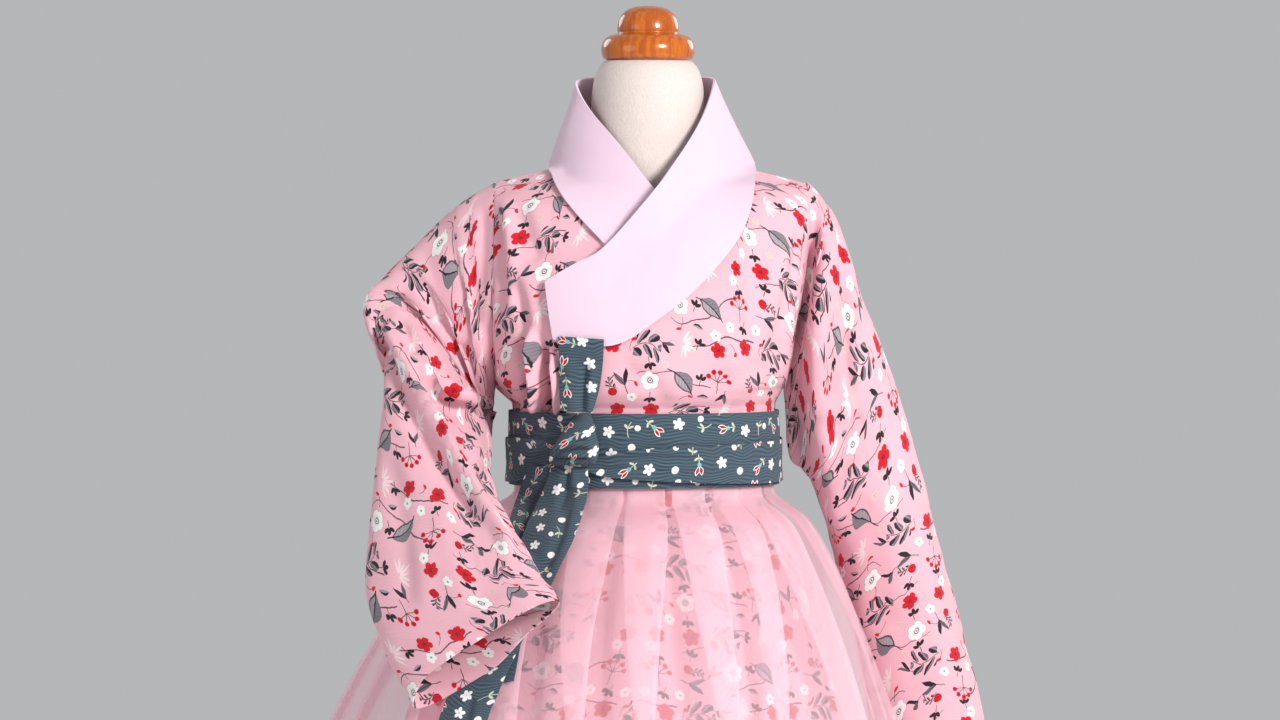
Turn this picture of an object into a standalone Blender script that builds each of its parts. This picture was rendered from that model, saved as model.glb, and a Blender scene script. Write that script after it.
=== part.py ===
# Child's hanbok on a limbless dress form. Metres, +Z up, front faces -Y.
import math
import bpy
import numpy as np

for old in list(bpy.data.objects):
    bpy.data.objects.remove(old, do_unlink=True)

collection = bpy.data.collections.new("childs_hanbok")
bpy.context.scene.collection.children.link(collection)

# Sizes
FLOOR_TO_HEM = 0.090
BELT_LOW, BELT_HIGH = 0.640, 0.700
JACKET_HEM = 0.6640
ARMHOLE_LOW, ARMHOLE_TOP = 0.722, 0.884
ARMHOLE_HALF_DEPTH = 0.045
LEFT_EDGE_X = -0.1190
SKIN = 0.0015
SLEEVE_WALL = 0.0020
COLLAR_WALL = 0.0020
BELT_WALL = 0.0020
RIBBON_WALL = 0.0015
ORGANZA_WALL = 0.0010
PRINT_WALL = 0.0015
PLEATS = 20
PLEAT_STEP = 2 * math.pi / PLEATS

# Finishes: red, green, blue (linear), roughness, metallic
FINISHES = {
    "floral_cotton": (0.800, 0.470, 0.540, 0.80, 0.0),
    "collar_cotton": (0.890, 0.740, 0.810, 0.80, 0.0),
    "sash_print": (0.045, 0.085, 0.125, 0.78, 0.0),
    "organza": (0.860, 0.520, 0.580, 0.55, 0.0),
    "waistband_cotton": (0.780, 0.500, 0.560, 0.80, 0.0),
    "form_linen": (0.800, 0.730, 0.680, 0.85, 0.0),
    "cap_wood": (0.480, 0.170, 0.040, 0.22, 0.0),
    "stand_wood": (0.480, 0.170, 0.040, 0.30, 0.0),
    "pole_metal": (0.560, 0.560, 0.570, 0.30, 1.0),
}
FINISH_OF = {
    "jeogori_back": "floral_cotton", "jeogori_front_right": "floral_cotton", "jeogori_front_left": "floral_cotton",
    "sleeve_right": "floral_cotton", "sleeve_left": "floral_cotton", "skirt_print": "floral_cotton",
    "git_collar": "collar_cotton", "belt_band": "sash_print", "belt_wrap": "sash_print", "belt_knot": "sash_print",
    "goreum_strap": "sash_print", "tail_front": "sash_print", "tail_back": "sash_print",
    "skirt_organza": "organza", "skirt_band": "waistband_cotton", "form_body": "form_linen",
    "form_cap": "cap_wood", "form_base": "stand_wood", "form_pole": "pole_metal",
}


class Table:
    """Rows of numbers under named columns, read smoothly along the first column."""

    def __init__(self, columns, rows):
        self.columns = columns.split()
        self.data = np.array(rows, float)
        self.key = self.data[:, 0]
        self.slopes = np.array([self._slopes(self.data[:, c]) for c in range(self.data.shape[1])])

    def _slopes(self, y):
        x = self.key
        h = np.diff(x)
        d = np.diff(y) / h
        m = np.zeros(len(y))
        m[0], m[-1] = d[0], d[-1]
        for i in range(1, len(y) - 1):
            if d[i - 1] * d[i] > 0:
                w1, w2 = 2 * h[i] + h[i - 1], h[i] + 2 * h[i - 1]
                m[i] = (w1 + w2) / (w1 / d[i - 1] + w2 / d[i])
        return m

    def at(self, name, k):
        c = self.columns.index(name)
        y, m, x = self.data[:, c], self.slopes[c], self.key
        k = np.clip(np.asarray(k, float), x[0], x[-1])
        i = np.clip(np.searchsorted(x, k, side="right") - 1, 0, len(x) - 2)
        h = x[i + 1] - x[i]
        t = (k - x[i]) / h
        return ((2 * t**3 - 3 * t**2 + 1) * y[i] + (t**3 - 2 * t**2 + t) * h * m[i]
                + (-2 * t**3 + 3 * t**2) * y[i + 1] + (t**3 - t**2) * h * m[i + 1])


def spline(points, count):
    """Smooth curve through points, sampled at count places."""
    p = np.asarray(points, float)
    n = len(p)
    q = np.vstack([2 * p[0] - p[1], p, 2 * p[-1] - p[-2]])
    out = []
    for s in np.linspace(0, n - 1, count):
        i = min(int(s), n - 2)
        t = s - i
        a, b, c, d = q[i], q[i + 1], q[i + 2], q[i + 3]
        out.append(0.5 * (2 * b + (c - a) * t + (2 * a - 5 * b + 4 * c - d) * t * t
                          + (3 * b - a - 3 * c + d) * t**3))
    return np.array(out)


def finish(obj):
    """Gives a piece its own material and puts it in the garment's collection."""
    red, green, blue, roughness, metallic = FINISHES[FINISH_OF[obj.name]]
    material = bpy.data.materials.new(f"{obj.name}_{FINISH_OF[obj.name]}")
    material.use_nodes = True
    shader = material.node_tree.nodes["Principled BSDF"]
    shader.inputs["Base Color"].default_value = (red, green, blue, 1.0)
    shader.inputs["Roughness"].default_value = roughness
    shader.inputs["Metallic"].default_value = metallic
    obj.data.materials.append(material)
    for owner in list(obj.users_collection):
        owner.objects.unlink(obj)
    collection.objects.link(obj)
    return obj


def add_object(name, verts, tris):
    v = np.asarray(verts, float)
    t = np.asarray(tris, int)
    volume = np.einsum("ij,ij->i", v[t[:, 0]], np.cross(v[t[:, 1]], v[t[:, 2]])).sum()
    if volume < 0:
        t = t[:, ::-1]
    mesh = bpy.data.meshes.new(name)
    mesh.from_pydata([tuple(p) for p in v], [], [tuple(int(i) for i in f) for f in t])
    mesh.validate()
    mesh.shade_smooth()
    obj = bpy.data.objects.new(name, mesh)
    return finish(obj)


def grid_normals(p, wrap):
    if wrap:
        du = np.roll(p, -1, axis=1) - np.roll(p, 1, axis=1)
    else:
        du = np.gradient(p, axis=1)
    dv = np.gradient(p, axis=0)
    n = np.cross(du, dv)
    return n / np.maximum(np.linalg.norm(n, axis=2, keepdims=True), 1e-12)


def wall(name, outer, thickness, side=1.0, wrap=False, inner=None):
    """A thin closed wall on a grid of points: outer face, inner face and rims."""
    outer = np.asarray(outer, float)
    rows, cols = outer.shape[:2]
    if inner is None:
        inner = outer - side * thickness * grid_normals(outer, wrap)
    verts = np.vstack([outer.reshape(-1, 3), inner.reshape(-1, 3)])
    off = rows * cols
    tris = []
    last = cols if wrap else cols - 1
    for i in range(rows - 1):
        for j in range(last):
            k = (j + 1) % cols
            a, b, c, d = i * cols + j, i * cols + k, (i + 1) * cols + k, (i + 1) * cols + j
            tris += [(a, b, c), (a, c, d)]
            tris += [(a + off, c + off, b + off), (a + off, d + off, c + off)]
    for i in (0, rows - 1):
        for j in range(last):
            k = (j + 1) % cols
            a, b = i * cols + j, i * cols + k
            quad = [(b, a, a + off), (b, a + off, b + off)]
            tris += quad if i == 0 else [q[::-1] for q in quad]
    if not wrap:
        for j in (0, cols - 1):
            for i in range(rows - 1):
                a, b = i * cols + j, (i + 1) * cols + j
                quad = [(a, b, b + off), (a, b + off, a + off)]
                tris += quad if j == 0 else [q[::-1] for q in quad]
    return add_object(name, verts, tris)


def loft(name, rings):
    """A closed solid through rings of equal count, ends fanned to their centres."""
    rings = np.asarray(rings, float)
    rows, cols = rings.shape[:2]
    verts = list(rings.reshape(-1, 3)) + [rings[0].mean(axis=0), rings[-1].mean(axis=0)]
    tris = []
    for i in range(rows - 1):
        for j in range(cols):
            k = (j + 1) % cols
            a, b, c, d = i * cols + j, i * cols + k, (i + 1) * cols + k, (i + 1) * cols + j
            tris += [(a, b, c), (a, c, d)]
    for j in range(cols):
        k = (j + 1) % cols
        tris.append((k, j, rows * cols))
        tris.append(((rows - 1) * cols + j, (rows - 1) * cols + k, rows * cols + 1))
    return add_object(name, verts, tris)


def turned(name, profile, around, centre_x=0.0):
    """A turned solid from radius and height pairs, listed from its top down."""
    mesh = bpy.data.meshes.new(name)
    points = [(0.0, 0.0, profile[0][1])] + [(r, 0.0, z) for r, z in profile] + [(0.0, 0.0, profile[-1][1])]
    mesh.from_pydata(points, [(i, i + 1) for i in range(len(points) - 1)], [])
    obj = bpy.data.objects.new(name, mesh)
    obj.location.x = centre_x
    screw = obj.modifiers.new("turn", "SCREW")
    screw.axis = "Z"
    screw.steps = screw.render_steps = around
    screw.use_merge_vertices = True
    screw.merge_threshold = 0.0001
    screw.use_smooth_shade = True
    return finish(obj)


# Dress form: torso and neck, one smooth closed solid
FORM = Table("z half_width half_depth neck", [
    (0.430, 0.080, 0.062, 0.010),
    (0.436, 0.092, 0.073, 0.010),
    (0.450, 0.100, 0.081, 0.010),
    (0.500, 0.104, 0.084, 0.010),
    (0.560, 0.101, 0.080, 0.010),
    (0.640, 0.0970, 0.0755, 0.010),
    (0.700, 0.0970, 0.0755, 0.010),
    (0.740, 0.100, 0.078, 0.010),
    (0.780, 0.104, 0.080, 0.012),
    (0.820, 0.106, 0.075, 0.020),
    (0.845, 0.109, 0.062, 0.030),
    (0.862, 0.110, 0.050, 0.038),
    (0.874, 0.107, 0.038, 0.043),
    (0.882, 0.100, 0.027, 0.046),
    (0.888, 0.086, 0.018, 0.0475),
    (0.893, 0.064, 0.012, 0.0478),
    (0.900, 0.040, 0.010, 0.0475),
    (0.915, 0.020, 0.010, 0.0458),
    (0.950, 0.020, 0.010, 0.0450),
    (0.966, 0.020, 0.010, 0.0430),
    (0.976, 0.020, 0.010, 0.0390),
    (0.9810, 0.020, 0.010, 0.0345),
])
FORM_X = 0.0032
BASE_TOP = 0.0340


def form_radius(z, t):
    a, b, n = FORM.at("half_width", z), FORM.at("half_depth", z), FORM.at("neck", z)
    r = 1 / np.sqrt((np.sin(t) / a) ** 2 + (np.cos(t) / b) ** 2)
    return (r**6 + n**6) ** (1 / 6)


def build_form():
    t = np.arange(28) * 2 * math.pi / 28
    rings = []
    for z in FORM.key:
        r = form_radius(z, t)
        cx = FORM_X * float(np.clip((z - 0.72) / 0.1, 0, 1))
        rings.append(np.stack([cx + r * np.sin(t), -r * np.cos(t), np.full_like(t, z)], axis=1))
    loft("form_body", rings)
    turned("form_cap", [(0.0060, 1.0248), (0.0140, 1.0230), (0.0205, 1.0180), (0.0240, 1.0110),
                        (0.0248, 1.0045), (0.0275, 1.0022), (0.0335, 0.9995), (0.0368, 0.9945),
                        (0.0372, 0.9885), (0.0358, 0.9835), (0.0320, 0.9813)], 24, FORM_X)
    turned("form_base", [(0.028, BASE_TOP), (0.050, 0.027), (0.110, 0.022), (0.158, 0.017),
                         (0.165, 0.011), (0.165, 0.002), (0.163, 0.0)], 36)
    low, high = BASE_TOP + 0.0003, float(FORM.key[0]) - 0.0003
    bpy.ops.mesh.primitive_cylinder_add(vertices=16, radius=0.0125, depth=high - low,
                                        location=(0, 0, 0.5 * (low + high)))
    pole = bpy.context.object
    pole.name = pole.data.name = "form_pole"
    pole.data.shade_smooth()
    finish(pole)


# Jacket body: depths of the front and back surface at each height
BODY = Table("z front back left_width right_width", [
    (JACKET_HEM, 0.0830, 0.0820, 0.1050, 0.1050),
    (0.7000, 0.0830, 0.0820, 0.1050, 0.1050),
    (0.7080, 0.0832, 0.0840, 0.1056, 0.1052),
    (0.7140, 0.0895, 0.0885, 0.1120, 0.1082),
    (0.7220, 0.0955, 0.0920, 0.1190, 0.1120),
    (0.7450, 0.1000, 0.0950, 0.1190, 0.1147),
    (0.7700, 0.1010, 0.0950, 0.1190, 0.1176),
    (0.8000, 0.0980, 0.0920, 0.1190, 0.1211),
    (0.8300, 0.0890, 0.0860, 0.1190, 0.1247),
    (0.8600, 0.0745, 0.0770, 0.1190, 0.1282),
    (0.8840, 0.0620, 0.0690, 0.1190, 0.1310),
    (0.9100, 0.0520, 0.0620, 0.1190, 0.1310),
])
RIGHT_EDGE_X = 0.1310


def armhole_depth(z):
    mid, half = 0.5 * (ARMHOLE_LOW + ARMHOLE_TOP), 0.5 * (ARMHOLE_TOP - ARMHOLE_LOW)
    u = np.clip((np.asarray(z, float) - mid) / half, -1, 1)
    return ARMHOLE_HALF_DEPTH * np.sqrt(np.maximum(0.0, 1 - u * u))


def shoulder_z(x):
    """Height of the shoulder line."""
    d = np.abs(np.asarray(x, float) - 0.004)
    r = np.clip((d - 0.060) / 0.065, 0, 1.2)
    q = np.clip(1 - d / 0.060, 0, 1)
    return 0.8990 - 0.0150 * r**1.15 + 0.030 * q**1.5


def body_y(x, z, face, extra=0.0):
    """Depth of the jacket body at a point seen from the front; face -1 front, +1 back."""
    x, z = np.asarray(x, float), np.asarray(z, float)
    depth = BODY.at("front" if face < 0 else "back", z) + extra
    width = np.where(x < 0, BODY.at("left_width", z), BODY.at("right_width", z))
    u = np.clip(np.abs(x) / width, 0, 1)
    blend = np.clip((z - 0.704) / 0.014, 0, 1)
    round_x = (1 - u ** (2.0 + 0.5 * blend)) ** (0.5 + 0.12 * blend)
    s = np.clip((shoulder_z(x) - z) / 0.050, 0, 1)
    rise = np.sqrt(1 - (1 - s) ** 2)
    tip = np.clip((shoulder_z(x) - 0.0004 - z) / 0.008, 0, 1)
    edge = armhole_depth(z) * np.sqrt(1 - (1 - tip) ** 2)
    return face * (edge + rise * np.maximum(depth - edge, 0) * round_x)


def body_normal(x, z, face, extra=0.0):
    e = 0.0015
    fx = (body_y(x + e, z, face, extra) - body_y(x - e, z, face, extra)) / (2 * e)
    fz = (body_y(x, z + e, face, extra) - body_y(x, z - e, face, extra)) / (2 * e)
    n = np.array([-face * float(fx), float(face), -face * float(fz)])
    return n / np.linalg.norm(n)


# Neckline of each front, under the middle of the collar
NECK_OVER = Table("x z", [
    (-0.0705, 0.7780), (-0.0300, 0.7740), (0.0060, 0.7920), (0.0380, 0.8190),
    (0.0640, 0.8500), (0.0760, 0.8740), (0.0820, 0.8940)])
NECK_UNDER = Table("x z", [
    (-0.0730, 0.8950), (-0.0680, 0.8840), (-0.0540, 0.8660), (-0.0200, 0.8400), (0.0120, 0.8150)])
LEVELS = (JACKET_HEM, 0.6990, 0.7080, 0.7140, 0.7230, 0.7450)
SHARES = (0.24, 0.48, 0.70, 0.87, 1.0)


def front_over_top(x):
    return float(shoulder_z(x)) - 0.0004 if x > 0.0820 else float(NECK_OVER.at("z", x))


def front_under_top(x):
    return float(shoulder_z(x)) - 0.0004 if x < -0.0730 else float(NECK_UNDER.at("z", x))


def back_top(x):
    return min(float(shoulder_z(x)) - 0.0004, 0.8880 + 5.0 * max(0.0, abs(x - 0.004) - 0.050) ** 1.3)


def panel(name, columns, top, face, extra):
    """A jacket panel from the hem up to its neckline and shoulder."""
    outer, inner = [], []
    heights = [(z, 0.0) for z in LEVELS] + [(LEVELS[-1], f) for f in SHARES]
    for z0, f in heights:
        row, back = [], []
        for x0 in columns:
            z = z0 + (top(x0) - z0) * f
            side = "left_width" if x0 < 0 else "right_width"
            full = abs(LEFT_EDGE_X) if x0 < 0 else RIGHT_EDGE_X
            lean = np.clip((abs(x0) - 0.060) / (full - 0.060), 0, 1)
            x = x0 * (1 + lean * (float(BODY.at(side, z)) / full - 1))
            p = np.array([x, float(body_y(x, z, face, extra)) + face * 0.0002, z])
            q = p - SKIN * body_normal(x, z, face, extra)
            q[1] = face * max(face * q[1], 0.0002)
            q[2] = max(q[2], JACKET_HEM) if z > JACKET_HEM else JACKET_HEM
            row.append(p)
            back.append(q)
        outer.append(row)
        inner.append(back)
    return wall(name, outer, SKIN, inner=np.array(inner))


def build_body():
    def spread(a, b, n, bend):
        t = np.linspace(0, 1, n)
        t = t**bend if bend > 0 else 1 - (1 - t) ** -bend
        return a + (b - a) * t

    left, right = LEFT_EDGE_X, RIGHT_EDGE_X
    panel("jeogori_back", np.concatenate([spread(left, 0, 8, 1.5)[:-1], spread(0, right, 8, -1.5)]),
          back_top, 1, 0.0)
    panel("jeogori_front_right", np.concatenate([spread(left, -0.0730, 5, 1.4)[:-1], spread(-0.0730, 0.0120, 7, 1)]),
          front_under_top, -1, -0.0034)
    panel("jeogori_front_left", np.concatenate([spread(-0.0705, 0.0820, 11, 1)[:-1], spread(0.0820, right, 5, -1.4)]),
          front_over_top, -1, 0.0)


# Sleeves: outer and inner fold points of each section and its half thickness
SLEEVE_RIGHT = [  # outer x y z, inner x y z, half
    (-0.1198, 0.000, 0.8840, -0.1198, 0.000, 0.7220, 0.0450),
    (-0.1420, 0.000, 0.8700, -0.1225, 0.002, 0.6940, 0.0440),
    (-0.1630, 0.000, 0.8530, -0.1260, 0.000, 0.6780, 0.0420),
    (-0.1950, -0.004, 0.8230, -0.1290, -0.012, 0.6710, 0.0370),
    (-0.2125, -0.020, 0.7960, -0.1300, -0.034, 0.6680, 0.0270),
    (-0.2035, -0.036, 0.7640, -0.1230, -0.075, 0.6590, 0.0240),
    (-0.2050, -0.058, 0.7150, -0.1150, -0.118, 0.6470, 0.0220),
    (-0.2090, -0.098, 0.6380, -0.0930, -0.166, 0.6140, 0.0200),
    (-0.2120, -0.130, 0.5700, -0.0780, -0.194, 0.5920, 0.0190),
    (-0.1955, -0.155, 0.5250, -0.0700, -0.206, 0.5830, 0.0180),
    (-0.1780, -0.178, 0.4960, -0.0645, -0.214, 0.5740, 0.0160),
]
SLEEVE_LEFT = [
    (0.1318, 0.000, 0.8840, 0.1128, 0.000, 0.7220, 0.0450),
    (0.1440, 0.000, 0.8700, 0.1140, 0.002, 0.6950, 0.0460),
    (0.1560, 0.000, 0.8500, 0.1155, 0.003, 0.6740, 0.0480),
    (0.1740, 0.004, 0.7900, 0.1190, 0.006, 0.6600, 0.0500),
    (0.1910, 0.010, 0.7500, 0.1290, 0.010, 0.6530, 0.0510),
    (0.2180, 0.020, 0.6690, 0.1385, 0.016, 0.6360, 0.0500),
    (0.2330, 0.034, 0.6150, 0.1480, 0.030, 0.6060, 0.0470),
    (0.2490, 0.048, 0.5610, 0.1600, 0.046, 0.5600, 0.0430),
    (0.2650, 0.062, 0.5020, 0.1740, 0.062, 0.5020, 0.0400),
    (0.2800, 0.072, 0.4440, 0.1855, 0.072, 0.4450, 0.0380),
    (0.2850, 0.074, 0.4270, 0.1880, 0.074, 0.4310, 0.0380),
]


def sleeve_sections(stations, count):
    s = spline(stations, count)
    s[0] = stations[0]
    outer, inner, half = s[:, 0:3], s[:, 3:6], s[:, 6]
    centre = 0.5 * (outer + inner)
    along = np.gradient(centre, axis=0)
    return centre, 0.5 * (outer - inner), half, along


def sleeve(name, stations, count, around, flip):
    centre, reach, half, along = sleeve_sections(stations, count)
    t = np.arange(around) * 2 * math.pi / around
    grid = []
    for i in range(count):
        w = np.cross(along[i], -reach[i])
        w = np.array([0.0, -1.0, 0.0]) if i == 0 else flip * w / np.linalg.norm(w)
        power = 2.0 + 0.4 * min(1.0, i / 4)
        cs, sn = np.cos(t), np.sin(t)
        u = np.sign(cs) * np.abs(cs) ** (2 / power)
        v = np.sign(sn) * np.abs(sn) ** (2 / power)
        grid.append(centre[i] + u[:, None] * reach[i] + v[:, None] * half[i] * w)
    grid = np.array(grid)
    n = grid_normals(grid, True)
    out = grid - centre[:, None, :]
    sign = np.sign((n * out).sum(axis=2).mean())
    inner = grid - sign * SLEEVE_WALL * n
    start = grid[0] - centre[0]
    inner[0] = centre[0] + start * (1 - SLEEVE_WALL / np.linalg.norm(start, axis=1, keepdims=True))
    return wall(name, grid, SLEEVE_WALL, wrap=True, inner=inner)


# Collar: upper and lower edge of one ribbon, over end round the neck to under end
COLLAR = [  # upper x y z, lower x y z
    (-0.0750, -0.085, 0.8070, -0.0685, -0.090, 0.7640),
    (-0.0510, -0.092, 0.8230, -0.0400, -0.098, 0.7590),
    (-0.0300, -0.094, 0.8360, -0.0180, -0.102, 0.7610),
    (0.0080, -0.082, 0.8790, 0.0080, -0.104, 0.7770),
    (0.0250, -0.064, 0.9020, 0.0430, -0.096, 0.8050),
    (0.0400, -0.046, 0.9250, 0.0730, -0.066, 0.8400),
    (0.0500, -0.028, 0.9450, 0.0840, -0.034, 0.8740),
    (0.0560, -0.010, 0.9630, 0.0880, 0.002, 0.9000),
    (0.0545, 0.014, 0.9680, 0.0790, 0.034, 0.8990),
    (0.0400, 0.040, 0.9690, 0.0540, 0.062, 0.8880),
    (0.0030, 0.055, 0.9690, 0.0030, 0.0755, 0.8810),
    (-0.0340, 0.040, 0.9690, -0.0480, 0.062, 0.8880),
    (-0.0500, 0.014, 0.9670, -0.0710, 0.034, 0.8990),
    (-0.0540, -0.010, 0.9610, -0.0760, 0.002, 0.9000),
    (-0.0440, -0.026, 0.9430, -0.0710, -0.026, 0.8820),
    (-0.0230, -0.044, 0.9190, -0.0590, -0.054, 0.8630),
    (-0.0070, -0.056, 0.8990, -0.0290, -0.080, 0.8330),
    (0.0080, -0.064, 0.8790, -0.0100, -0.088, 0.8190),
    (0.0180, -0.068, 0.8670, 0.0000, -0.090, 0.8140),
]


def collar_grid(count, across):
    s = spline(COLLAR, count)
    grid = np.zeros((across, count, 3))
    for j in range(across):
        f = j / (across - 1)
        grid[j] = s[:, 0:3] * (1 - f) + s[:, 3:6] * f
        for i in range(count):
            over = i < count * 0.42
            extra, lift = (0.0, 0.0048) if over else (-0.0034, 0.0041)
            for _ in range(4):
                x, y, z = grid[j, i]
                if z > float(shoulder_z(x)) - 0.001:
                    break
                face = -1 if y < 0.01 else 1
                shift = extra if face < 0 else 0.0
                n = body_normal(x, z, face, shift)
                gap = (y - float(body_y(x, z, face, shift))) * face * abs(n[1])
                if gap >= lift:
                    break
                grid[j, i] += n * (lift - gap)
    return grid


def build_collar():
    grid = collar_grid(37, 4)
    n = grid_normals(grid, False)
    sign = -1.0 if n[1, 9, 1] > 0 else 1.0
    wall("git_collar", grid, COLLAR_WALL, side=sign)


# Belt and ribbons
def belt_point(t, z, out):
    """A point round the belt; t from the front toward +X, out metres outside its inner face."""
    a, b = 0.1062 + out, 0.0842 + out
    return (a * math.sin(t), -b * math.cos(t), z)


def belt_low(t):
    return BELT_LOW + 0.0035 + 0.0030 * math.cos(t)


def belt_high(t):
    return BELT_HIGH + 0.0025 + 0.0025 * math.cos(t)


# Second turn of the sash, from the right of the knot round the back to its left side
TURN = Table("degrees low high", [
    (-26, 0.6720, 0.6800), (-14, 0.6640, 0.6780), (0, 0.6580, 0.6860), (25, 0.6545, 0.6880), (60, 0.6500, 0.6850),
    (180, 0.6450, 0.6820), (270, 0.6500, 0.6850), (296, 0.6530, 0.6880), (312, 0.6620, 0.6860), (326, 0.6720, 0.6820)])


def build_belt():
    n = 44
    t = np.arange(n) * 2 * math.pi / n
    outer, inner = [], []
    for f in (0.0, 0.5, 1.0):
        z = [belt_low(a) * (1 - f) + belt_high(a) * f for a in t]
        bulge = 0.0006 if f == 0.5 else 0.0
        outer.append([belt_point(a, h, BELT_WALL + bulge) for a, h in zip(t, z)])
        inner.append([belt_point(a, h, bulge) for a, h in zip(t, z)])
    wall("belt_band", outer, BELT_WALL, wrap=True, inner=np.array(inner))
    outer, inner = [], []
    for f in (0, 1):
        row, back = [], []
        for d in np.linspace(-26, 326, 46):
            z = float(TURN.at("low", d) * (1 - f) + TURN.at("high", d) * f)
            a = math.radians(d)
            row.append(belt_point(a, z, BELT_WALL + 0.0014 + RIBBON_WALL))
            back.append(belt_point(a, z, BELT_WALL + 0.0014))
        outer.append(row)
        inner.append(back)
    wall("belt_wrap", outer, RIBBON_WALL, inner=np.array(inner))


def front_surface(x, z):
    """Foremost depth of the sash or of the sheer skirt at a point seen from the front."""
    sash = -0.0896 * math.sqrt(max(0.0, 1 - (x / 0.1118) ** 2))
    a, b = float(ORGANZA.at("half_width", z)), float(ORGANZA.at("half_depth", z))
    cx, cy = float(ORGANZA.at("centre_x", z)), float(ORGANZA.at("centre_y", z))
    skirt = cy - b * math.sqrt(max(0.0, 1 - ((x - cx) / a) ** 2))
    return min(sash, skirt) if z > 0.6380 else skirt


def strip(name, stations, count, across, thickness, bow, surface, lift):
    """A ribbon from left and right edge points (x z) laid lift metres in front of a surface."""
    s = spline(stations, count)
    grid = np.zeros((count, across, 3))
    for j in range(across):
        f = j / (across - 1)
        for i in range(count):
            x = s[i, 0] * (1 - f) + s[i, 2] * f
            z = s[i, 1] * (1 - f) + s[i, 3] * f
            grid[i, j] = (x, surface(x, z) - lift(z) - bow * 4 * f * (1 - f), z)
    for _ in range(2):
        low = grid[:, :, 1].copy()
        low[1:-1] = np.minimum(low[1:-1], 0.5 * (low[:-2] + low[2:]))
        grid[:, :, 1] = low
    n = grid_normals(grid, False)
    sign = 1.0 if n[:, :, 1].mean() < 0 else -1.0
    return wall(name, grid, thickness, side=sign)


STRAP = [  # left x z, right x z
    (-0.0665, 0.7660, -0.0310, 0.7640),
    (-0.0660, 0.7450, -0.0320, 0.7440),
    (-0.0655, 0.7250, -0.0350, 0.7240),
    (-0.0650, 0.7080, -0.0400, 0.7070),
]
TAIL_FRONT = [
    (-0.0720, 0.6662, -0.0440, 0.6662),
    (-0.0770, 0.6500, -0.0440, 0.6440),
    (-0.0870, 0.6270, -0.0520, 0.6160),
    (-0.1010, 0.5960, -0.0660, 0.5880),
    (-0.1080, 0.5660, -0.0790, 0.5640),
    (-0.1230, 0.5280, -0.0990, 0.5260),
    (-0.1400, 0.5080, -0.1090, 0.5040),
    (-0.1530, 0.4870, -0.1180, 0.4820),
    (-0.1620, 0.4400, -0.1280, 0.4360),
    (-0.1660, 0.3900, -0.1330, 0.3700),
]
TAIL_BACK = [
    (-0.0900, 0.6640, -0.0745, 0.6610),
    (-0.1010, 0.6350, -0.0790, 0.6300),
    (-0.1110, 0.5990, -0.0850, 0.5950),
    (-0.1180, 0.5600, -0.0900, 0.5600),
    (-0.1240, 0.5240, -0.0960, 0.5240),
    (-0.1230, 0.5060, -0.0985, 0.5100),
]
KNOT = [  # z, left x, right x, half thickness
    (0.7055, -0.0500, -0.0420, 0.0020),
    (0.6990, -0.0570, -0.0395, 0.0060),
    (0.6900, -0.0640, -0.0375, 0.0085),
    (0.6800, -0.0700, -0.0350, 0.0090),
    (0.6725, -0.0715, -0.0370, 0.0075),
    (0.6670, -0.0690, -0.0420, 0.0035),
]


def build_knot():
    rings = []
    for z, left, right, half in spline(KNOT, 8):
        mid, reach = 0.5 * (left + right), 0.5 * (right - left)
        ring = []
        for k in range(16):
            a = 2 * math.pi * k / 16
            c, s = math.cos(a), math.sin(a)
            x = mid + reach * math.copysign(abs(c) ** 0.9, c)
            ring.append((x, front_surface(x, z) - half - 0.0003 + half * s, z))
        rings.append(ring)
    loft("belt_knot", rings)


def build_ribbons():
    strip("goreum_strap", STRAP, 7, 4, RIBBON_WALL, 0.001,
          lambda x, z: float(body_y(x, max(z, 0.735), -1)), lambda z: 0.0070)
    strip("tail_front", TAIL_FRONT, 15, 4, RIBBON_WALL, 0.002, front_surface,
          lambda z: 0.0032 + 0.0076 * float(np.clip((0.660 - z) / 0.018, 0, 1)))
    strip("tail_back", TAIL_BACK, 12, 4, RIBBON_WALL, 0.0, front_surface, lambda z: 0.0032)
    build_knot()


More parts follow.
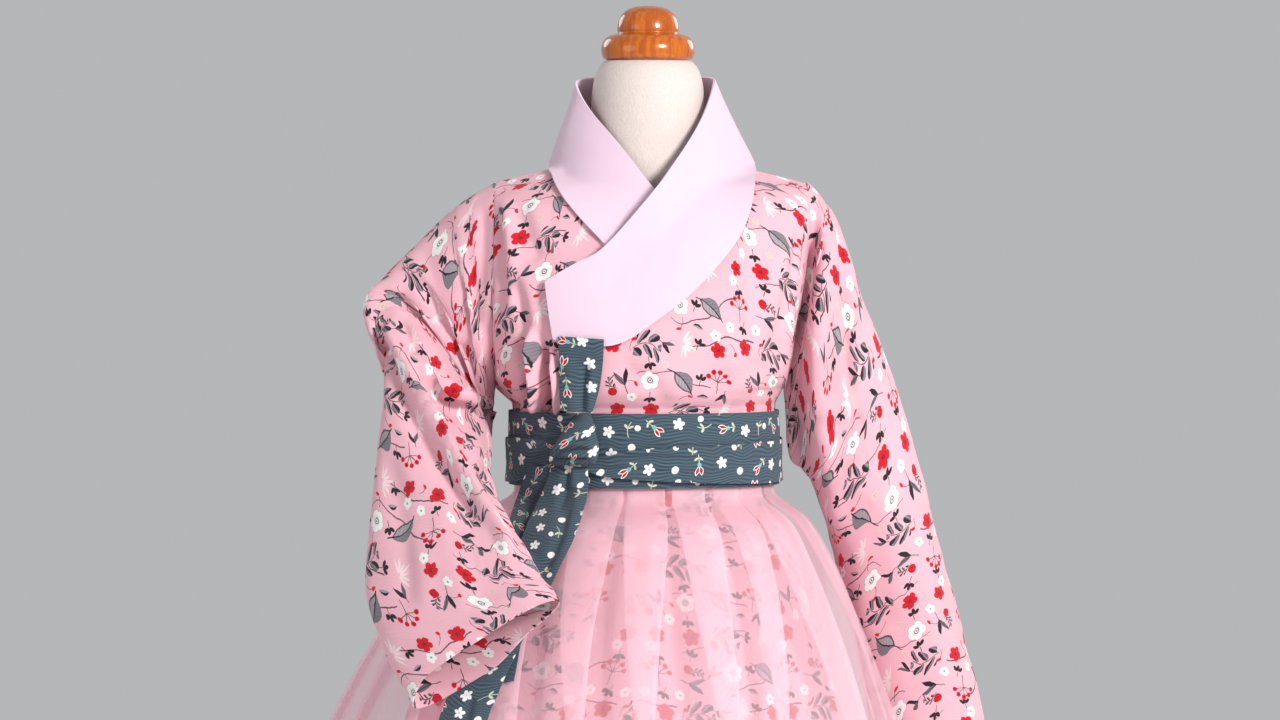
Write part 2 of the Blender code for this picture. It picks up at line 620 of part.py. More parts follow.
# Skirts: half width and depth of the printed skirt and of the sheer one
SKIRT_BAND = ((0.6512, 0.0), (0.7000, 0.0), (0.7280, 0.0026))
PRINT = Table("z half_width half_depth centre_x centre_y wave", [
    (0.1100, 0.2950, 0.2850, -0.020, -0.006, 0.0130),
    (0.2200, 0.2620, 0.2520, -0.018, -0.006, 0.0110),
    (0.3400, 0.2240, 0.2120, -0.014, -0.006, 0.0090),
    (0.4550, 0.1850, 0.1730, -0.010, -0.006, 0.0060),
    (0.5400, 0.1500, 0.1360, -0.006, -0.004, 0.0035),
    (0.5950, 0.1260, 0.1080, -0.002, -0.002, 0.0015),
    (0.6385, 0.0993, 0.0778, 0.000, 0.000, 0.0),
    (0.6508, 0.0992, 0.0777, 0.000, 0.000, 0.0),
])
ORGANZA = Table("z half_width half_depth centre_x centre_y open step wave dent", [
    (FLOOR_TO_HEM, 0.3720, 0.3600, -0.027, -0.010, 1.00, 0.0016, 0.0130, 0.000),
    (0.1900, 0.3380, 0.3260, -0.025, -0.010, 0.90, 0.0022, 0.0120, 0.000),
    (0.3000, 0.2990, 0.2860, -0.023, -0.010, 0.76, 0.0034, 0.0105, 0.010),
    (0.4100, 0.2550, 0.2400, -0.020, -0.010, 0.58, 0.0036, 0.0080, 0.032),
    (0.4750, 0.2260, 0.2090, -0.0175, -0.009, 0.42, 0.0038, 0.0055, 0.028),
    (0.5400, 0.1910, 0.1720, -0.0135, -0.008, 0.28, 0.0036, 0.0035, 0.012),
    (0.5840, 0.1600, 0.1400, -0.0070, -0.006, 0.15, 0.0030, 0.0015, 0.002),
    (0.6180, 0.1330, 0.1130, -0.0020, -0.003, 0.05, 0.0022, 0.0005, 0.000),
    (0.6385, 0.1050, 0.0830, 0.000, 0.000, 0.00, 0.0014, 0.0, 0.000),
    (0.6550, 0.1048, 0.0828, 0.000, 0.000, 0.00, 0.0014, 0.0, 0.000),
])
# Fold path of one pleat: share of the step from its outer fold, level folded, share open, height open
PLEAT_PATH = [
    (0.00, 2.0, 0.00, 1.00),
    (0.00, 1.0, 0.14, 0.62),
    (-0.78, 1.0, 0.29, -0.22),
    (-0.78, 0.0, 0.43, -0.90),
    (0.00, 0.0, 0.57, -0.90),
    (0.10, 1.0, 0.71, -0.22),
    (0.22, 2.0, 0.86, 0.62),
]


def dent(t, z):
    """The hanging sleeve presses the sheer skirt in at its side."""
    d = math.degrees(t) % 360
    return float(ORGANZA.at("dent", z)) * math.exp(-((d - 110) / 30.0) ** 2)


def organza_ring(z, shift=0.0):
    a, b = float(ORGANZA.at("half_width", z)), float(ORGANZA.at("half_depth", z))
    cx, cy = float(ORGANZA.at("centre_x", z)), float(ORGANZA.at("centre_y", z))
    opened, step, wave = (float(ORGANZA.at(k, z)) for k in ("open", "step", "wave"))
    ring = []
    for k in range(PLEATS):
        base = math.radians(9) + k * PLEAT_STEP
        for folded, level, share, height in PLEAT_PATH:
            t = base + PLEAT_STEP * (folded * (1 - opened) + share * opened)
            r = (level - 2.0) * step * (1 - opened) + wave * (height - 1.0) * opened - dent(t, z) - ORGANZA_WALL / 2
            nx, ny = math.sin(t) / a, -math.cos(t) / b
            n = math.hypot(nx, ny)
            ring.append((cx + a * math.sin(t) + (r + shift) * nx / n,
                         cy - b * math.cos(t) + (r + shift) * ny / n))
    return np.array(ring)


def offset_loop(ring, d):
    """Move a closed loop sideways by d with mitred corners."""
    before, after = np.roll(ring, 1, axis=0), np.roll(ring, -1, axis=0)

    def unit(v):
        return v / np.maximum(np.linalg.norm(v, axis=1, keepdims=True), 1e-12)

    e1, e2 = unit(ring - before), unit(after - ring)
    n1 = np.stack([e1[:, 1], -e1[:, 0]], axis=1)
    n2 = np.stack([e2[:, 1], -e2[:, 0]], axis=1)
    m = unit(n1 + n2)
    c = np.maximum((m * n1).sum(axis=1, keepdims=True), 0.5)
    return ring + d * m / c


def build_skirts():
    n = 44
    t = np.arange(n) * 2 * math.pi / n
    outer, inner = [], []
    for z, grow in SKIRT_BAND:
        for rows, out in ((outer, 0.0022 + grow), (inner, 0.0007 + grow)):
            rows.append([((0.0970 + out) * math.sin(a), -(0.0755 + out) * math.cos(a), z) for a in t])
    wall("skirt_band", outer, 0.0015, wrap=True, inner=np.array(inner))

    n = 52
    t = np.arange(n) * 2 * math.pi / n
    outer = []
    for z in PRINT.key[::-1]:
        a, b = PRINT.at("half_width", z), PRINT.at("half_depth", z)
        pressed = 0.6 * np.array([dent(k, z) for k in t])
        wave = -pressed + PRINT.at("wave", z) * (np.cos(11 * t + 0.4) * 0.6 + np.cos(6 * t + 1.1) * 0.4)
        outer.append(np.stack([PRINT.at("centre_x", z) + (a + wave) * np.sin(t),
                               PRINT.at("centre_y", z) - (b + wave) * np.cos(t), np.full(n, z)], axis=1))
    outer = np.array(outer)
    normals = grid_normals(outer, True)
    sign = np.sign((normals * outer * (1, 1, 0)).sum(axis=2).mean())
    inner = outer - sign * PRINT_WALL * normals
    inner[0, :, 2] = outer[0, :, 2]
    inner[-1, :, 2] = outer[-1, :, 2]
    wall("skirt_print", outer, PRINT_WALL, wrap=True, inner=inner)

    outer, inner = [], []
    for z in ORGANZA.key[::-1]:
        ring = organza_ring(z)
        o, i = offset_loop(ring, ORGANZA_WALL / 2), offset_loop(ring, -ORGANZA_WALL / 2)
        outer.append(np.column_stack([o, np.full(len(o), z)]))
        inner.append(np.column_stack([i, np.full(len(i), z)]))
    wall("skirt_organza", outer, ORGANZA_WALL, wrap=True, inner=np.array(inner))


build_form()
build_body()
sleeve("sleeve_right", SLEEVE_RIGHT, 18, 24, 1)
sleeve("sleeve_left", SLEEVE_LEFT, 16, 24, -1)
build_collar()
build_belt()
build_skirts()
build_ribbons()
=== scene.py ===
# Child's hanbok on a dress form: fine cloth, prints and finishes. Metres, +Z up, front faces -Y.
import math

import bpy
import numpy as np
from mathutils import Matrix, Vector


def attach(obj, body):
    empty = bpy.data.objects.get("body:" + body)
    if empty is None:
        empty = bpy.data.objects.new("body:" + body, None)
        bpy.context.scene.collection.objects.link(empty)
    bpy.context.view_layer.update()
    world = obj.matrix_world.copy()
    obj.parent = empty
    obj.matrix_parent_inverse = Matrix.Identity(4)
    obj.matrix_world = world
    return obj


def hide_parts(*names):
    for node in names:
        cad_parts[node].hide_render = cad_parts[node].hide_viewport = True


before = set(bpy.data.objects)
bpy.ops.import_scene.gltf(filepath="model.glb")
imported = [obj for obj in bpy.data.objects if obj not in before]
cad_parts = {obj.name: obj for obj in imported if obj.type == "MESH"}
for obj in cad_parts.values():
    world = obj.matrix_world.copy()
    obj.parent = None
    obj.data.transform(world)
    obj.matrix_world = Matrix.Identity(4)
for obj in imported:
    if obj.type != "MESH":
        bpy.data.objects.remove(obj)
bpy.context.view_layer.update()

# Sizes shared with the solids
FLOOR_TO_HEM = 0.09
BELT_LOW, BELT_HIGH = 0.64, 0.7
JACKET_HEM = 0.664
ARMHOLE_LOW, ARMHOLE_TOP = 0.722, 0.884
ARMHOLE_HALF_DEPTH = 0.052
LEFT_EDGE_X, RIGHT_EDGE_X = -0.119, 0.131
PLEATS = 20
PLEAT_STEP = 2 * math.pi / PLEATS
FIRST_PLEAT = math.radians(9)
FORM_X = 0.0032
# How much deeper the under front lies than the over front
UNDER = -0.0034

# Thickness of the cloth as seen
COTTON = 0.0009
COLLAR_CLOTH = 0.0018
RIBBON_CLOTH = 0.0011


class Table:
    """Rows of numbers under named columns, read smoothly along the first column."""

    def __init__(self, columns, rows):
        self.columns = columns.split()
        self.data = np.array(rows, float)
        self.key = self.data[:, 0]
        self.slopes = np.array([self._slopes(self.data[:, c]) for c in range(self.data.shape[1])])

    def _slopes(self, y):
        x = self.key
        h = np.diff(x)
        d = np.diff(y) / h
        m = np.zeros(len(y))
        m[0], m[-1] = d[0], d[-1]
        for i in range(1, len(y) - 1):
            if d[i - 1] * d[i] > 0:
                w1, w2 = 2 * h[i] + h[i - 1], h[i] + 2 * h[i - 1]
                m[i] = (w1 + w2) / (w1 / d[i - 1] + w2 / d[i])
        return m

    def at(self, name, k):
        c = self.columns.index(name)
        y, m, x = self.data[:, c], self.slopes[c], self.key
        k = np.clip(np.asarray(k, float), x[0], x[-1])
        i = np.clip(np.searchsorted(x, k, side="right") - 1, 0, len(x) - 2)
        h = x[i + 1] - x[i]
        t = (k - x[i]) / h
        return ((2 * t**3 - 3 * t**2 + 1) * y[i] + (t**3 - 2 * t**2 + t) * h * m[i]
                + (-2 * t**3 + 3 * t**2) * y[i + 1] + (t**3 - t**2) * h * m[i + 1])


def spline(points, count):
    """Smooth curve through points, sampled at count places."""
    p = np.asarray(points, float)
    n = len(p)
    q = np.vstack([2 * p[0] - p[1], p, 2 * p[-1] - p[-2]])
    out = []
    for s in np.linspace(0, n - 1, count):
        i = min(int(s), n - 2)
        t = s - i
        a, b, c, d = q[i], q[i + 1], q[i + 2], q[i + 3]
        out.append(0.5 * (2 * b + (c - a) * t + (2 * a - 5 * b + 4 * c - d) * t * t
                          + (3 * b - a - 3 * c + d) * t**3))
    return np.array(out)


def smooth_step(x, low, high):
    t = np.clip((np.asarray(x, float) - low) / (high - low), 0, 1)
    return t * t * (3 - 2 * t)


def grid_normals(p, wrap):
    if wrap:
        du = np.roll(p, -1, axis=1) - np.roll(p, 1, axis=1)
    else:
        du = np.gradient(p, axis=1)
    dv = np.gradient(p, axis=0)
    n = np.cross(du, dv)
    return n / np.maximum(np.linalg.norm(n, axis=2, keepdims=True), 1e-12)


# Cloth as thin closed shells with their cut as UV, in metres
def new_mesh(name, verts, quads, uv, material):
    mesh = bpy.data.meshes.new(name)
    quads = np.asarray(quads, np.int32)
    mesh.vertices.add(len(verts))
    mesh.vertices.foreach_set("co", np.asarray(verts, np.float32).ravel())
    mesh.loops.add(quads.size)
    mesh.loops.foreach_set("vertex_index", quads.ravel())
    mesh.polygons.add(len(quads))
    mesh.polygons.foreach_set("loop_start", np.arange(0, quads.size, 4, dtype=np.int32))
    mesh.update(calc_edges=True)
    layer = mesh.uv_layers.new(name="cut")
    layer.data.foreach_set("uv", np.asarray(uv, np.float32).ravel())
    mesh.validate()
    mesh.shade_smooth()
    mesh.set_sharp_from_angle(angle=math.radians(55))
    mesh.materials.append(material)
    obj = bpy.data.objects.new(name, mesh)
    bpy.context.scene.collection.objects.link(obj)
    return obj


def quad_indices(rows, cols, wrap):
    """Corners of each quad of a grid, and the same corners in the grid of split cut points."""
    last = cols if wrap else cols - 1
    i, j = np.meshgrid(np.arange(rows - 1), np.arange(last), indexing="ij")
    k = (j + 1) % cols
    corner = np.stack([i * cols + j, i * cols + k, (i + 1) * cols + k, (i + 1) * cols + j], axis=-1)
    wide = 2 * last
    flat = np.stack([i * wide + 2 * j, i * wide + 2 * j + 1,
                     (i + 1) * wide + 2 * j + 1, (i + 1) * wide + 2 * j], axis=-1)
    return corner.reshape(-1, 4), flat.reshape(-1, 4)


def split(cut):
    """Cut points with each column named twice, for the strip on its left and the one on its right."""
    return np.repeat(cut, 2, axis=1)[:, 1:-1]


def skin(name, grid, cut, material):
    """A single surface closed round itself, for solids and for cloth too thin to have two sides."""
    corner, flat = quad_indices(*grid.shape[:2], True)
    if outward_sign(grid_normals(grid, True), grid, grid.mean(axis=(0, 1))) < 0:
        corner, flat = corner[:, ::-1], flat[:, ::-1]
    return new_mesh(name, grid.reshape(-1, 3), corner, split(cut).reshape(-1, 2)[flat], material)


def outward_sign(normals, grid, inside):
    """1 where a grid's normals point away from its inside, and -1 where they point into it."""
    return np.sign((normals * (grid - inside)).sum(axis=2).mean())


def outward_normals(grid, wrap, inside):
    normals = grid_normals(grid, wrap)
    return normals * outward_sign(normals, grid, inside)


def cloth(name, grid, cut, thickness, material, inside, wrap=False):
    """A thin closed shell: the grid is its face side, and the back lies the thickness behind it."""
    rows, cols = grid.shape[:2]
    normals = grid_normals(grid, wrap)
    sign = outward_sign(normals, grid, inside)
    back = grid - sign * thickness * normals
    corner, flat = quad_indices(rows, cols, wrap)
    last = cols if wrap else cols - 1
    wide = 2 * last
    cut = (cut if cut.shape[1] == wide else split(cut)).reshape(-1, 2)
    behind = rows * cols
    quads = [corner, corner[:, ::-1] + behind]
    uvs = [cut[flat], cut[flat][:, ::-1]]

    def add_rim(a, b, cut_a, cut_b, forward):
        rim = np.stack([b, a, a + behind, b + behind], axis=-1)
        rim_cut = cut[np.stack([cut_b, cut_a, cut_a, cut_b], axis=-1)]
        quads.append(rim[:, ::-1] if forward else rim)
        uvs.append(rim_cut[:, ::-1] if forward else rim_cut)

    j = np.arange(last)
    for row, forward in ((0, False), (rows - 1, True)):
        place = row * wide + 2 * j
        add_rim(row * cols + j, row * cols + (j + 1) % cols, place, place + 1, forward)
    if not wrap:
        i = np.arange(rows - 1)
        for col, edge, forward in ((0, 0, True), (cols - 1, wide - 1, False)):
            place = i * wide + edge
            add_rim(i * cols + col, (i + 1) * cols + col, place, place + wide, forward)
    quads, uvs = np.vstack(quads), np.vstack(uvs)
    if sign < 0:
        quads, uvs = quads[:, ::-1], uvs[:, ::-1]
    verts = np.vstack([grid.reshape(-1, 3), back.reshape(-1, 3)])
    return new_mesh(name, verts, quads, uvs, material)


def lengths(points, axis):
    step = np.linalg.norm(np.diff(points, axis=axis), axis=-1)
    pad = [(0, 0), (0, 0)]
    pad[axis] = (1, 0)
    return np.cumsum(np.pad(step, pad), axis=axis)


def tube_cut(grid, own_share, shift=(0.0, 0.0)):
    """Cut coordinates of a tube whose columns start at its seam: across from the middle, along its axis."""
    closed = np.concatenate([grid, grid[:, :1]], axis=1)
    u = lengths(closed, 1)
    u = u - 0.5 * u[:, -1:]
    own = lengths(closed, 0)
    axis = lengths(grid.mean(axis=1, keepdims=True), 0)
    v = own_share * own + (1 - own_share) * axis
    return np.stack([u + shift[0], v + shift[1]], axis=-1)


# Creases pressed into a grid: soft troughs and ridges along lines given in metres
def line_distance(x, z, line):
    """Signed distance from points to a smooth line, and how far along it the nearest place is."""
    p = spline(line, 40)
    best = np.full(np.shape(x), 9.0)
    along, side = np.zeros_like(best), np.ones_like(best)
    for i in range(len(p) - 1):
        ax, az = p[i]
        dx, dz = p[i + 1] - p[i]
        s = np.clip(((x - ax) * dx + (z - az) * dz) / (dx * dx + dz * dz), 0, 1)
        ox, oz = x - ax - s * dx, z - az - s * dz
        d = np.hypot(ox, oz)
        near = d < best
        best = np.where(near, d, best)
        along = np.where(near, (i + s) / (len(p) - 1), along)
        side = np.where(near, np.sign(dx * oz - dz * ox), side)
    return best * side, along


def tapered(share, ends):
    return smooth_step(share, 0, ends[0]) * (1 - smooth_step(share, 1 - ends[1], 1))


def pressed(move, grid, normals, creases, ends=(0.2, 0.2), free=1.0):
    """Adds creases to a grid's moves: a depth above 0 is a ridge, below 0 a trough with a lip on one side."""
    for face, depth, width, lip, line in creases:
        d, s = line_distance(grid[..., 0], grid[..., 2], line)
        seen = smooth_step(face * normals[..., 1], 0.0, 0.5)
        shape = np.exp(-(d / width) ** 2) - lip * np.exp(-((d - 1.7 * width) / (1.3 * width)) ** 2)
        move = move + (depth * shape * tapered(s, ends) * seen)[..., None] * normals * free
    return move


def hollow(grid, middle, face, share, near, far, one_sided, line):
    """Sinks one face of a sleeve towards its middle along a line, from the near width to the far width."""
    d, s = line_distance(grid[..., 0], grid[..., 2], line)
    reach = d / (near + (far - near) * s)
    pit = smooth_step(reach, 0, 1) if one_sided else np.exp(-reach ** 2)
    depth = middle - grid[..., 1]
    seen = smooth_step(-face * depth, 0.0, 0.004)
    moved = grid.copy()
    moved[..., 1] += share * pit * tapered(s, (0.25, 0.2)) * seen * depth
    return moved


def ripples(u, v, seed, height, normals, longest=0.07):
    """Small uneven waves of resting cloth, along its normals."""
    rng = np.random.default_rng(seed)
    out = np.zeros(np.shape(u))
    for _ in range(9):
        angle, phase = rng.uniform(0, 2 * math.pi, 2)
        wave = longest * rng.uniform(0.35, 1.0)
        along = u * math.cos(angle) + v * math.sin(angle)
        out += np.cos(along * 2 * math.pi / wave + phase) * wave / longest
    return (height * out / 3)[..., None] * normals


# Nodes of a material, worked out with ordinary arithmetic
def feed(tree, slot, value):
    """Gives an input a number, a colour or another node's output."""
    value = value.socket if isinstance(value, Value) else value
    if isinstance(value, bpy.types.NodeSocket):
        tree.links.new(value, slot)
    else:
        slot.default_value = value


def new_node(tree, kind, **settings):
    node = tree.nodes.new("ShaderNode" + kind)
    for name, value in settings.items():
        setattr(node, name, value)
    return node


class Value:
    """A number that a material's nodes work out."""

    def __init__(self, tree, socket):
        self.tree = tree
        self.socket = socket

    def math(self, operation, *others, clamp=False):
        node = new_node(self.tree, "Math", operation=operation, use_clamp=clamp)
        for slot, value in zip(node.inputs, (self,) + others):
            feed(self.tree, slot, value)
        return Value(self.tree, node.outputs[0])

    def __add__(self, other):
        return self.math("ADD", other)

    def __sub__(self, other):
        return self.math("SUBTRACT", other)

    def __mul__(self, other):
        return self.math("MULTIPLY", other)

    def __abs__(self):
        return self.math("ABSOLUTE")

    def scaled(self, factor, plus=0.0):
        return self.math("MULTIPLY_ADD", factor, plus)

    def varied(self, depth):
        """A share from 0 to 1 made into a factor round 1."""
        return self.scaled(depth, 1.0 - 0.5 * depth)

    def cos(self):
        return self.math("COSINE")

    def sin(self):
        return self.math("SINE")

    def wrap(self, low, high):
        return self.math("WRAP", high, low)

    def fill(self, soft):
        """1 where the number is above 0, with a soft edge."""
        return self.math("MULTIPLY_ADD", 1.0 / soft, 0.5, clamp=True)

    def above(self, limit, soft):
        return (self - limit).fill(soft)

    def below(self, limit, soft):
        return self.scaled(-1.0, limit).fill(soft)


def vector_node(tree, operation, *values, scale=None):
    node = new_node(tree, "VectorMath", operation=operation)
    for slot, value in zip(node.inputs, values):
        feed(tree, slot, value)
    if scale is not None:
        feed(tree, node.inputs["Scale"], scale)
    return node.outputs["Vector"]


def parts_of(tree, vector):
    node = new_node(tree, "SeparateXYZ")
    feed(tree, node.inputs[0], vector)
    return Value(tree, node.outputs[0]), Value(tree, node.outputs[1])


def noise_node(tree, vector, scale, detail):
    node = new_node(tree, "TexNoise")
    for name, value in (("Vector", vector), ("Scale", scale), ("Detail", detail)):
        feed(tree, node.inputs[name], value)
    return node


def noise(tree, vector, scale, detail=2.0, stretch=None):
    if stretch:
        vector = vector_node(tree, "MULTIPLY", vector, stretch)
    return Value(tree, noise_node(tree, vector, scale, detail).outputs["Fac"])


class Paint:
    """Colours laid over one another, each through a mask."""

    def __init__(self, tree, ground):
        self.tree = tree
        self.colour = ground

    def lay(self, colour, mask):
        node = new_node(self.tree, "Mix", data_type="RGBA")
        feed(self.tree, node.inputs["Factor"], mask)
        feed(self.tree, node.inputs[6], self.colour)
        feed(self.tree, node.inputs[7], colour + (1.0,))
        self.colour = node.outputs[2]

    def lay_kinds(self, kind, motifs, share=None):
        """Lays each motif in the cells of its own kind."""
        for number, motif in enumerate(motifs):
            own = abs(kind - number).below(0.5, 0.1)
            own = own if share is None else own * share
            for colour, shape in motif:
                self.lay(colour, shape * own)


class Place:
    """Where a point lies in one motif's own plane, in millimetres."""

    def __init__(self, x, y):
        self.x, self.y = x, y
        self.r = (x * x + y * y).math("SQRT")
        self.turn = x.math("ARCTAN2", y)

    def moved(self, x, y, size=1.0):
        """The plane of a motif set off from this one's middle, and drawn larger by its size."""
        return Place(self.x.scaled(1 / size, -x / size), self.y.scaled(1 / size, -y / size))

    def bent(self, curve):
        """The distance across from a stem that curves."""
        return self.x - self.y * self.y * curve

    def petals(self, size, notch):
        """Room left inside a flower of five round petals."""
        lobe = abs(self.turn.scaled(2.5).cos()).math("SQRT")
        return lobe.scaled(notch * size, (1 - notch) * size) - self.r

    def fan(self, step, reach):
        """The same plane folded into equal sectors round +y, and a mask of the sectors kept."""
        b = self.turn.wrap(-0.5 * step, 0.5 * step)
        return self.r * b.sin(), self.r * b.cos(), abs(self.turn).below(reach, 0.02)


def bar(x, y, half_width, middle, half_length, soft=0.3):
    """A straight line of a motif along y."""
    return abs(x).below(half_width, 0.2) * abs(y - middle).below(half_length, soft)


def blob(x, y, room, soft, share=1.0):
    """A round spot, or an ellipse where y counts for a share of x."""
    return (x * x + y * y * share).below(room, soft)


def lens(s, width):
    """The half width of a leaf at a share of its length."""
    return s * s.scaled(-1.0, 1.0) * width


def cells(tree, plane, size, repeat, seed, jitter, shift=0.0):
    """Splits the cut into square cells that repeat, each with its own moved and turned plane."""
    scaled = vector_node(tree, "MULTIPLY_ADD", plane, (1 / size,) * 3, (shift, shift, 0.0))
    corner = vector_node(tree, "FLOOR", scaled)
    inside = vector_node(tree, "SUBTRACT", scaled, corner)
    centred = vector_node(tree, "MULTIPLY_ADD", inside, (size,) * 3, (-0.5 * size,) * 3)
    middle = vector_node(tree, "ADD", corner, (0.5, 0.5, 0.5))
    home = vector_node(tree, "FLOOR", vector_node(tree, "WRAP", middle, (repeat,) * 3, (0, 0, 0)))
    chance = new_node(tree, "TexWhiteNoise", noise_dimensions="3D")
    feed(tree, chance.inputs["Vector"], vector_node(tree, "ADD", home, (seed, 0.5, 0.5)))
    moved = vector_node(tree, "MULTIPLY_ADD", chance.outputs["Color"], (-jitter,) * 3, (0.5 * jitter,) * 3)
    rotate = new_node(tree, "VectorRotate", rotation_type="Z_AXIS")
    luck = Value(tree, chance.outputs["Value"])
    feed(tree, rotate.inputs["Vector"], vector_node(tree, "ADD", centred, moved))
    feed(tree, rotate.inputs["Angle"], luck * FULL_TURN)
    return Place(*parts_of(tree, rotate.outputs["Vector"])), parts_of(tree, home), luck


# Motifs of the cotton print, each a list of colours and masks
WHITE = (0.93, 0.9, 0.87)
CREAM = (0.78, 0.66, 0.56)
RED = (0.66, 0.011, 0.022)
DEEP_RED = (0.46, 0.009, 0.018)
DARK_RED = (0.3, 0.004, 0.012)
INK = (0.022, 0.016, 0.022)
GREY = (0.155, 0.14, 0.165)
MID_GREY = (0.23, 0.205, 0.235)
PALE_GREY = (0.4, 0.345, 0.375)
STEM = (0.13, 0.06, 0.075)


def white_flower(p, size):
    petals = p.petals(size, 0.3)
    inside = petals.fill(0.3)
    halo = petals.scaled(1.0, 0.6).fill(0.5)
    ring = abs(p.r.scaled(1.0, -0.25 * size)).below(0.055 * size, 0.2)
    outer_ring = abs(p.r.scaled(1.0, -0.4 * size)).below(0.03 * size, 0.3)
    dot = p.r.below(0.1 * size, 0.2)
    return [(PALE_GREY, halo * 0.6), (WHITE, inside), (PALE_GREY, outer_ring * 0.5),
            (GREY, ring), (GREY, dot)]


def red_flower(p, size):
    petals = p.petals(size, 0.42)
    inside = petals.fill(0.3)
    gaps = abs(p.turn.scaled(2.5).cos()).below(0.2, 0.15)
    veins = (p.turn.scaled(15.0).cos()).above(0.55, 0.6) * petals.above(0.18 * size, 0.6)
    heart = p.r.below(0.22 * size, 0.5)
    return [(RED, inside), (DARK_RED, gaps * inside * 0.75),
            (DARK_RED, veins * 0.45), (DARK_RED, heart * 0.9)]


def big_leaf(p, length, width):
    x = p.bent(0.11 / width)
    s = p.y.scaled(1.0 / length, 0.5)
    outline = (s * s.scaled(-4.0, 4.0)).math("MAXIMUM", 0.0).math("POWER", 1.3) * s.scaled(-0.5, 1.2) * width
    blade = (outline - abs(x)).fill(0.35)
    rib = bar(x, p.y, 0.5, -2.0, 0.62 * length)
    veins = (p.y - abs(x) * 0.9).wrap(0.0, 3.6).below(0.6, 0.3)
    edge = (outline.scaled(1.0, -1.3) - x).fill(0.5).scaled(-1.0, 1.0) * x.fill(0.4)
    return [(PALE_GREY, blade), (MID_GREY, blade * x.scaled(-1.0).fill(0.6)), (INK, edge * blade * 0.8),
            (INK, veins * blade * 0.35), (INK, rib)]


def sprig(p, half, pitch, leaf):
    """A stem with pairs of leaves, each half ink and half grey."""
    x = p.bent(0.5 / half)
    side = abs(x)
    stem = bar(x, p.y, 0.36, -0.3 * pitch, half + 1.0)
    stagger = x.fill(0.1) * (0.4 * pitch)
    step = (p.y + stagger - side * 0.75).wrap(-0.5 * pitch, 0.5 * pitch)
    across = side.scaled(1.0 / leaf, -1.15)
    body = blob(across, step, 1.0, 0.18, 1.0 / (0.68 * leaf) ** 2)
    leaves = body * abs(p.y).below(half, 0.3)
    streak = abs(step.scaled(1.0, 0.9)).below(0.35, 0.3)
    return [(STEM, stem), (GREY, leaves), (INK, leaves * step.above(0.15, 0.4)),
            (PALE_GREY, leaves * streak * 0.8)]


def leaf_pair(p):
    """One ink and one grey leaf on a forked stem."""
    lean = abs(p.x) - p.y.scaled(0.42, 2.0)
    s = p.y.scaled(1.0 / 14.0, 0.42)
    outline = lens(s, 8.5)
    leaves = (outline - abs(lean)).fill(0.3)
    stem = bar(p.x, p.y, 0.36, -9.0, 4.0)
    rib = abs(lean).below(0.28, 0.2) * leaves
    return [(STEM, stem), (GREY, leaves), (INK, leaves * p.x.fill(0.3)), (INK, rib)]


def berry_fan(p, reach, berry):
    x, y, kept = p.fan(0.62, 1.6)
    stalk = abs(x).below(0.32, 0.2) * (p.r.scaled(-1.0, reach)).fill(0.3) * kept
    root = bar(p.x, p.y, 0.34, -5.0, 5.5)
    dy = y.scaled(1.0, -reach)
    red = blob(x, dy, berry * berry, 0.9) * kept
    spot = blob(x, dy, 0.18 * berry * berry, 0.5) * kept
    return [(STEM, stalk), (STEM, root), (RED, red), (DARK_RED, spot)]


def pale_strokes(p, reach):
    x, y, kept = p.fan(0.46, 1.5)
    bend = x - y * y * 0.012
    width = (y * y.scaled(-1.0, reach)).scaled(0.3 / reach, 0.15)
    uneven = p.turn.scaled(5.3, 1.0).sin().scaled(0.24 * reach, 0.8 * reach)
    stroke = (width - abs(bend)).fill(0.7) * (uneven - p.r).fill(2.0) * (p.r.scaled(1.0, -1.8)).fill(0.8)
    return [(WHITE, stroke * kept * 0.6)]


def leaf_cluster(p, reach, spread=1.3, step=0.85):
    x, y, kept = p.fan(step, spread)
    dy = y.scaled(1.0 / (0.42 * reach), -1.35)
    leaves = blob(dy, x, 1.0, 0.25, 1.0 / (0.23 * reach) ** 2) * kept
    tail = bar(p.x, p.y, 0.28, -0.3 * reach, 0.4 * reach, 0.2)
    return [(INK, leaves), (INK, tail)]


def bud(p):
    """A red round bud under a row of small black leaves."""
    leaves = sprig(p.moved(0.0, 2.5), 5.0, 3.4, 1.6)
    dy = p.y.scaled(1.0, 5.6)
    red = blob(p.x, dy, 13.0, 1.2)
    stripes = p.x.scaled(2.6).sin().fill(0.8)
    return leaves + [(RED, red), (DARK_RED, red * stripes * 0.7)]


def daisy(p, size):
    petals = (p.turn.scaled(6.0).cos().scaled(0.2 * size, 0.8 * size) - p.r).fill(0.3)
    rays = abs(p.turn.scaled(3.0).sin()).below(0.25, 0.1) * (p.r.scaled(-1.0, 0.62 * size)).fill(0.2)
    return [(CREAM, petals * 0.7), (INK, rays * 0.8)]


def small_flower(p, size):
    petals = p.petals(size, 0.35).fill(0.3)
    dot = p.r.below(0.2 * size, 0.3)
    return [(WHITE, petals), (GREY, dot * 0.8)]


def berry_pair(p):
    x = p.bent(0.07)
    stem = bar(x, p.y, 0.24, 0.0, 5.0)
    dy = p.y.scaled(1.0, -4.6)
    dx = x.scaled(1.0, -0.2)
    berry = blob(dx, dy, 2.9, 0.8)
    return [(STEM, stem), (RED, berry)]


def stray_leaf(p):
    s = p.y.scaled(1.0 / 9.0, 0.5)
    outline = lens(s, 7.6)
    x = p.bent(0.04)
    blade = (outline - abs(x)).fill(0.3)
    return [(INK, blade), (PALE_GREY, blade * x.fill(0.5))]


